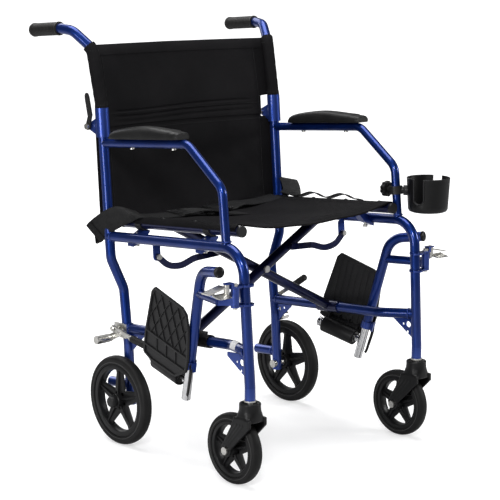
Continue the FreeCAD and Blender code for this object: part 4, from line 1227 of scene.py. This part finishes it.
def footplate(name):
    """The footplate, stowed upright: a ribbed underside, a grooved tread and the barrel it turns on."""
    body = name + "_footplate"
    plate = piece(body + "_moulding", [(merged(plate_shapes(name)), "plastic")], smooth=30, bevel=0.5)
    ride(plate, body, body)
    barrel = piece(body + "_barrel", [(merged(barrel_shapes(name)), "plastic")], smooth=35, bevel=0.5)
    ride(barrel, body)


def hanger_details(name):
    """The plug in the hanger's top end and the clamp, bolt and hooked lever at its foot."""
    body = name + "_hanger"
    top = pin_point(name, HANGER_OUT, 20, 452)
    front = pin_point(name, HANGER_OUT, 0, 455) - top
    plug = [(0, -6), (9.2, -6), (9.2, 0), (11.6, 0), (11.8, 2.0), (10.5, 4.2), (6.0, 5.2), (0, 5.4)]
    ride(piece(body + "_plug", [(lathed(plug, top, front, 40), "plastic")], smooth=50), body)
    start = hanger_point(name, HANGER_OUT + 9, 0, 42.0)
    head = hanger_point(name, HANGER_OUT + 16.5, 0, 42.0) - start
    bolt = lathed([(0, 0), (5.6, 0), (5.6, 5.0), (4.4, 6.6), (0, 7.2)], start, head, 6)
    ride(piece(body + "_bolts", [(bolt, "chrome")], smooth=30, bevel=0.4), body)
    shapes = []
    for along in (-14.5, -17.5):
        outline = ((-6, 30), (6, 30), (6, 52), (-6, 52))
        corners = [hanger_point(name, HANGER_OUT + out, along, up) for out, up in outline]
        shapes.append(slab(corners, hanger_point(name, 0, along - 1.6, 0) - hanger_point(name, 0, along, 0)))
    neck = [hanger_point(name, HANGER_OUT, along, 41) for along in (-8, -19)]
    shapes.append(bar(*neck, 8, 16, (0, 0, 1), 2))
    ride(piece(body + "_clamp", [(merged(shapes), "paint")], smooth=35, bevel=0.6), body)
    points = ((-12, 46), (-16, 36), (-17, 20), (-16, 2), (-15, -18), (-13, -27))
    hook = curve_through([hanger_point(name, HANGER_OUT + 5, *p) for p in points])
    lever = swept(hook, lambda t: rectangle(3.2, 9.0 - 3.0 * t, 1.2))
    ride(piece(name + "_height_lever", [(lever, "plastic")], smooth=45), body)


# ---------------------------------------------------------------- small fittings

def weld(middle, axis, radius, seed):
    """A bead of weld round a tube's end, with the ripples of its passes."""
    middle, axis = Vector(middle), Vector(axis).normalized()
    helper = Vector((0, 0, 1)) if abs(axis.z) < 0.9 else Vector((1, 0, 0))
    side = axis.cross(helper).normalized()
    over = side.cross(axis)
    path = []
    for i in range(72):
        angle = 2 * math.pi * i / 72
        path.append(middle + (side * math.cos(angle) + over * math.sin(angle)) * radius)
    points, faces = [], []
    for i, point in enumerate(path):
        outward = (point - middle).normalized()
        size = 1.5 + 0.28 * math.sin(i * 1.9 + seed) + 0.15 * math.sin(i * 0.7 + seed * 2)
        for j in range(8):
            angle = 2 * math.pi * j / 8
            points.append(point + outward * size * math.cos(angle) + axis * size * 1.2 * math.sin(angle))
    for i in range(72):
        for j in range(8):
            a, b = i * 8 + j, i * 8 + (j + 1) % 8
            c, d = ((i + 1) % 72) * 8 + (j + 1) % 8, ((i + 1) % 72) * 8 + j
            faces.append((a, b, c, d))
    return points, faces


def welds():
    for name, side in SIDES.items():
        x = side * RAIL_X
        rail_rear = Vector((x, post_y(465) - TUBE_R, rail_z(SIDE_RAIL_Z, post_y(465) - TUBE_R)))
        arm_rear = Vector((x, 43, 669.5))
        arm_foot = Vector((x, -354, rail_z(SIDE_RAIL_Z, -354) + TUBE_R - 0.5))
        lower_rear = Vector((side * SEAT_X, 11 - TUBE_R, rail_z(LOWER_RAIL_Z, 0)))
        lower_front = Vector((side * 248, -399, rail_z(LOWER_RAIL_Z, -399)))
        stub = Vector((side * SEAT_X, 5 + TUBE_R, 127))
        rows = [
            (rail_rear, (0, -1, 0.07), TUBE_R), (arm_rear, (0, -1, 0.074), ARM_TUBE_R),
            (arm_foot, (0, 0.09, 1), ARM_TUBE_R), (lower_rear, (0, -1, 0.07), TUBE_R),
            (lower_front, (side * 0.36, -0.93, 0.06), TUBE_R), (stub, (0, 1, -0.07), TUBE_R),
        ]
        shapes = [weld(*row, number) for number, row in enumerate(rows)]
        ride(piece(name + "_welds", [(merged(shapes), "paint")], smooth=60), name + "_frame")


LEVER_REST = {"right": 42.0, "left": 0.0}
SHOE_REST = {"right": 0.0, "left": -39.85}


def lock_turned(pivot, point, degrees):
    """A point turned about a cross-wise pivot, by the right-hand rule about +X."""
    pivot = Vector(pivot)
    return pivot + Matrix.Rotation(math.radians(degrees), 3, "X") @ (Vector(point) - pivot)


def lock_grip(name, side):
    x = side * 249.0
    start, end = (lock_turned((x, 32, 256), p, LEVER_REST[name]) for p in ((x, -24, 290.3), (x, -66, 318)))
    along = end - start
    profile = [(0, 0), (6.8, 0), (7.6, 1.5)]
    distance = 4.0
    while distance < 42:
        profile += [(7.6, distance), (8.1, distance + 1), (8.1, distance + 2.4), (7.6, distance + 3.4)]
        distance += 5.0
    profile += [(7.8, 46), (8.2, 48.5), (7.2, 51.4), (3.5, 52.6), (0, 52.8)]
    grip = lathed(profile, start, along, 32)
    ride(piece(name + "_lock_grip", [(grip, "grip")], smooth=50), name + "_lock_lever")


def shoe_sleeve(name, side):
    """The knurled sleeve on the wheel lock's cross pin."""
    points = []
    count, rows = 48, 26
    for i in range(rows):
        x = side * (248.0 + (281.5 - 248.0) * i / (rows - 1))
        for j in range(count):
            ridge = 9.0 if (j + i) % 2 else 9.55
            angle = 2 * math.pi * j / count
            on_pin = (x, 54.0 + ridge * math.cos(angle), 230.0 + ridge * math.sin(angle))
            points.append(lock_turned((x, 8, 252), on_pin, SHOE_REST[name]))
    sleeve = skinned(points, rows, count)
    ride(piece(name + "_lock_knurl", [(sleeve, "steel")], smooth=25), name + "_lock_shoe")


def bolt_head(middle, axis, radius, high):
    profile = [(0, 0), (radius, 0), (radius, high * 0.7), (radius * 0.86, high), (radius * 0.45, high),
               (radius * 0.40, high * 0.55), (0, high * 0.55)]
    return lathed(profile, middle, axis, 6)


def extra_bolts():
    for name, side in SIDES.items():
        shapes = [
            bolt_head((side * 252.0, 32, 256), (side, 0, 0), 6.4, 3.6),
            bolt_head((side * 246.0, 8, 252), (side, 0, 0), 6.0, 3.4),
        ]
        ride(piece(name + "_frame_bolts", [(merged(shapes), "steel")], smooth=25, bevel=0.3), name + "_frame")
        dome = [(0, 0), (13.0, 0), (13.6, 1.0), (13.0, 9.0), (10.5, 13.4), (0, 14.6)]
        cap = lathed(dome, (side * 274.0, 0, REAR_R), (side, 0, 0), 40)
        ride(piece(name + "_hub_cap", [(cap, "plastic")], smooth=40), name + "_rear_wheel")


# ---------------------------------------------------------------- cup holder

CLAMP_Z = 557.5
CUP = Vector((302.7, -400.5, 0))
CUP_BOTTOM, CUP_HIGH, CUP_R, CUP_WALL = 510.0, 77.0, 48.5, 2.5
CUP_TOP = CUP_BOTTOM + CUP_HIGH
SLOT_TURN = math.radians(194)
SLOT_FOOT = CUP_BOTTOM + 33
ARM_TUBE = Vector((RAIL_X, -348.5, CLAMP_Z))


def cup_body():
    bottom, top, radius = CUP_BOTTOM, CUP_TOP, CUP_R
    profile = [(0, bottom), (radius - 13, bottom), (radius - 7, bottom + 2.2), (radius - 4.2, bottom + 7),
               (radius - 3.8, bottom + 14), (radius - 0.6, top - 5), (radius - 0.2, top - 1.2),
               (radius - 1.0, top)]
    inside = radius - CUP_WALL
    profile += [(inside, top), (inside - 0.4, top - 2), (radius - 4.2 - CUP_WALL, bottom + 10),
                (radius - 12, bottom + 3.4), (0, bottom + 3.2)]
    return lathed(profile, CUP, (0, 0, 1), 96)


def slot_cutters():
    """The slots in the cup's wall, one on each side: cutters that start inside it and run out."""
    direction = Vector((math.cos(SLOT_TURN), math.sin(SLOT_TURN), 0))
    across = Vector((-direction.y, direction.x, 0))
    outline = [(-11, CUP_TOP + 4), (11, CUP_TOP + 4), (11, SLOT_FOOT)]
    outline += [(11 * math.cos(a), SLOT_FOOT + 11 * math.sin(a)) for a in spaced(0, -math.pi, 15)]
    outline += [(-11, SLOT_FOOT)]
    cutters = []
    for reach in (direction, -direction):
        start = [CUP + Vector((0, 0, z)) + reach * 24 + across * a for a, z in outline]
        cutters.append(slab(start, reach * 34))
    return cutters


def cup_wall_point(across, z):
    """A point just proud of the cup's tapered wall, beside the slot."""
    share = (z - CUP_BOTTOM) / CUP_HIGH
    local = CUP_R - 4 + 4 * share + 0.2
    turn = SLOT_TURN + across / local
    return Vector((CUP.x + math.cos(turn) * local, CUP.y + math.sin(turn) * local, z))


def cup_holder():
    along = (CUP + Vector((0, 0, CLAMP_Z)) - ARM_TUBE).normalized()
    middle = CUP + Vector((0, 0, CLAMP_Z))
    arm = swept([ARM_TUBE + along * 15, middle - along * 44], rectangle(13, 22, 4), up=Vector((0, 0, 1)))
    fillet = swept([ARM_TUBE + along * 18, middle - along * 42], rectangle(20, 9, 3), up=Vector((0, 0, 1)))
    parts = [(cup_body(), "plastic"), (arm, "plastic"), (fillet, "plastic")]
    obj = piece("cup_holder_moulding", parts, smooth=40)
    cutters = cut_away(obj, slot_cutters())
    bake(obj)
    drop(cutters)
    obj.data.shade_smooth()
    obj.data.set_sharp_from_angle(angle=math.radians(35))
    ride(obj, "left_frame", "cup_holder")

    line = [(-12.5, CUP_TOP - 1), (-12.5, SLOT_FOOT)]
    line += [(12.5 * math.cos(t), SLOT_FOOT + 12.5 * math.sin(t)) for t in spaced(math.pi, 2 * math.pi, 17)]
    line += [(12.5, SLOT_FOOT), (12.5, CUP_TOP - 1)]
    edge = swept([cup_wall_point(across, z) for across, z in line], circle(1.9, 10))
    ride(piece("cup_slot_rim", [(edge, "plastic")], smooth=60), "left_frame")


def cup_knob():
    """The clamp's nine-lobed knob, which points to the rear, with its boss and screw."""
    lobes = []
    for angle in (2 * math.pi * i / 60 for i in range(60)):
        radius = 17.0 + 1.0 * math.cos(9 * angle)
        lobes.append((radius * math.cos(angle), radius * math.sin(angle)))
    scales = (0.86, 1.0, 1.0, 1.0, 0.97, 0.84)

    def profile(t):
        scale = scales[min(5, int(t * 5.999))]
        return [(a * scale, b * scale) for a, b in lobes]

    back = Vector((0, 1, 0))
    knob = swept([ARM_TUBE + back * d for d in (23.2, 24.6, 28, 32, 34.6, 35.8)], profile)
    boss = lathed([(0, 0), (7.0, 0), (6.4, 1.5), (0, 1.8)], ARM_TUBE + back * 35.6, back, 32)
    screw = lathed([(0, 0), (3.0, 0), (3.0, 12.0), (0, 12.0)], ARM_TUBE + back * 24, -back, 20)
    parts = [(knob, "plastic"), (boss, "plastic"), (screw, "steel")]
    ride(piece("cup_holder_lobed_knob", parts, smooth=50), "cup_knob", "cup_holder_knob")


# ---------------------------------------------------------------- stage

def floor_material():
    """A pale floor that fades to white away from the chair, as a lit studio sweep does."""
    mat = shader("pale_floor", (0.58, 0.58, 0.585), 0.85, Specular_IOR_Level=0.1)
    shine = surface_of(mat).inputs
    shine["Emission Color"].default_value = (1, 1, 1, 1)
    coords = add_node(mat, "ShaderNodeTexCoord")
    distance = add_node(mat, "ShaderNodeVectorMath", operation="LENGTH")
    join(mat, coords.outputs["Object"], distance.inputs[0])
    glow = remap(mat, distance.outputs["Value"], 0.35, 1.7, 0.49, 1.0)
    seen = add_node(mat, "ShaderNodeLightPath")
    strength = add_node(mat, "ShaderNodeMath", operation="MULTIPLY")
    join(mat, glow, strength.inputs[0])
    join(mat, seen.outputs["Is Camera Ray"], strength.inputs[1])
    join(mat, strength.outputs["Value"], shine["Emission Strength"])
    return mat


def build_floor():
    """A floor that curves up into a backdrop behind the chair."""
    curve = []
    for t in spaced(0, 1, 17):
        angle = t * math.pi / 2
        curve.append((4.0 + 2.5 * math.sin(angle), 2.5 - 2.5 * math.cos(angle)))
    rows = [(-9.0, 0.0)] + curve + [(6.5, 9.0)]
    away = Matrix.Rotation(math.radians(-42.5), 3, "Z")
    points = [away @ Vector((x, depth, z)) for depth, z in rows for x in (-9.0, 9.0)]
    faces = [(2 * i, 2 * i + 1, 2 * i + 3, 2 * i + 2) for i in range(len(rows) - 1)]
    mesh = bpy.data.meshes.new("floor")
    mesh.from_pydata(points, [], faces)
    mesh.materials.append(floor_material())
    mesh.shade_smooth()
    floor = bpy.data.objects.new("floor", mesh)
    bpy.context.scene.collection.objects.link(floor)


def build_world():
    """White to the camera, and a weaker white light on the chair."""
    world = bpy.data.worlds.new("studio")
    bpy.context.scene.world = world
    world.use_nodes = True
    background = world.node_tree.nodes["Background"]
    background.inputs["Color"].default_value = (1, 1, 1, 1)
    seen = add_node(world, "ShaderNodeLightPath")
    strength = remap(world, seen.outputs["Is Camera Ray"], 0.0, 1.0, 0.18, 1.0)
    join(world, strength, background.inputs["Strength"])


def build_lights():
    """Soft lamps aimed at the chair: name, place, size in metres and power in watts."""
    lights = (
        ("key", (-2.3, -2.4, 2.3), 0.6, 62.0), ("fill", (2.6, -2.2, 1.5), 0.8, 40.0),
        ("side", (-2.5, -0.5, 0.7), 0.9, 26.0), ("top", (0.0, 0.2, 3.4), 2.4, 120.0),
        ("rear", (0.4, 3.4, 2.6), 2.6, 80.0),
    )
    for name, at, wide, power in lights:
        data = bpy.data.lights.new(name, "AREA")
        data.size = wide
        data.energy = power
        lamp = bpy.data.objects.new(name, data)
        lamp.location = at
        lamp.rotation_euler = (Vector((0, 0, 0.45)) - Vector(at)).to_track_quat("-Z", "Y").to_euler()
        bpy.context.scene.collection.objects.link(lamp)


def build_camera():
    scene = bpy.context.scene
    camera = bpy.data.objects.new("camera", bpy.data.cameras.new("camera"))
    camera.data.sensor_width = 36.0
    camera.data.lens = 111.46
    azimuth, elevation, distance = math.radians(-42.52), math.radians(10.49), 3.447
    flat = math.cos(elevation)
    back = Vector((math.sin(azimuth) * flat, -math.cos(azimuth) * flat, math.sin(elevation)))
    camera.location = place((0, -145, 426)) + back * distance
    camera.rotation_euler = (-back).to_track_quat("-Z", "Y").to_euler()
    scene.collection.objects.link(camera)
    scene.camera = camera
    scene.view_settings.view_transform = "Standard"


# ---------------------------------------------------------------- the whole chair

finish_cad_nodes()
seat_sling()
rail_screws()
lap_belt()
rail_strip()
blank_label()
tie_strap()
back_upholstery()
for side_name, side_sign in SIDES.items():
    belt_anchor(side_name, side_sign)
    cane_sleeve(side_name, side_sign)
    push_grip(side_name, side_sign)
    arm_pad(side_name, side_sign)
    lock_grip(side_name, side_sign)
    shoe_sleeve(side_name, side_sign)
wheels()
for side_name in SIDES:
    footplate(side_name)
    hanger_details(side_name)
welds()
extra_bolts()
cup_holder()
cup_knob()
build_floor()
build_world()
build_lights()
build_camera()
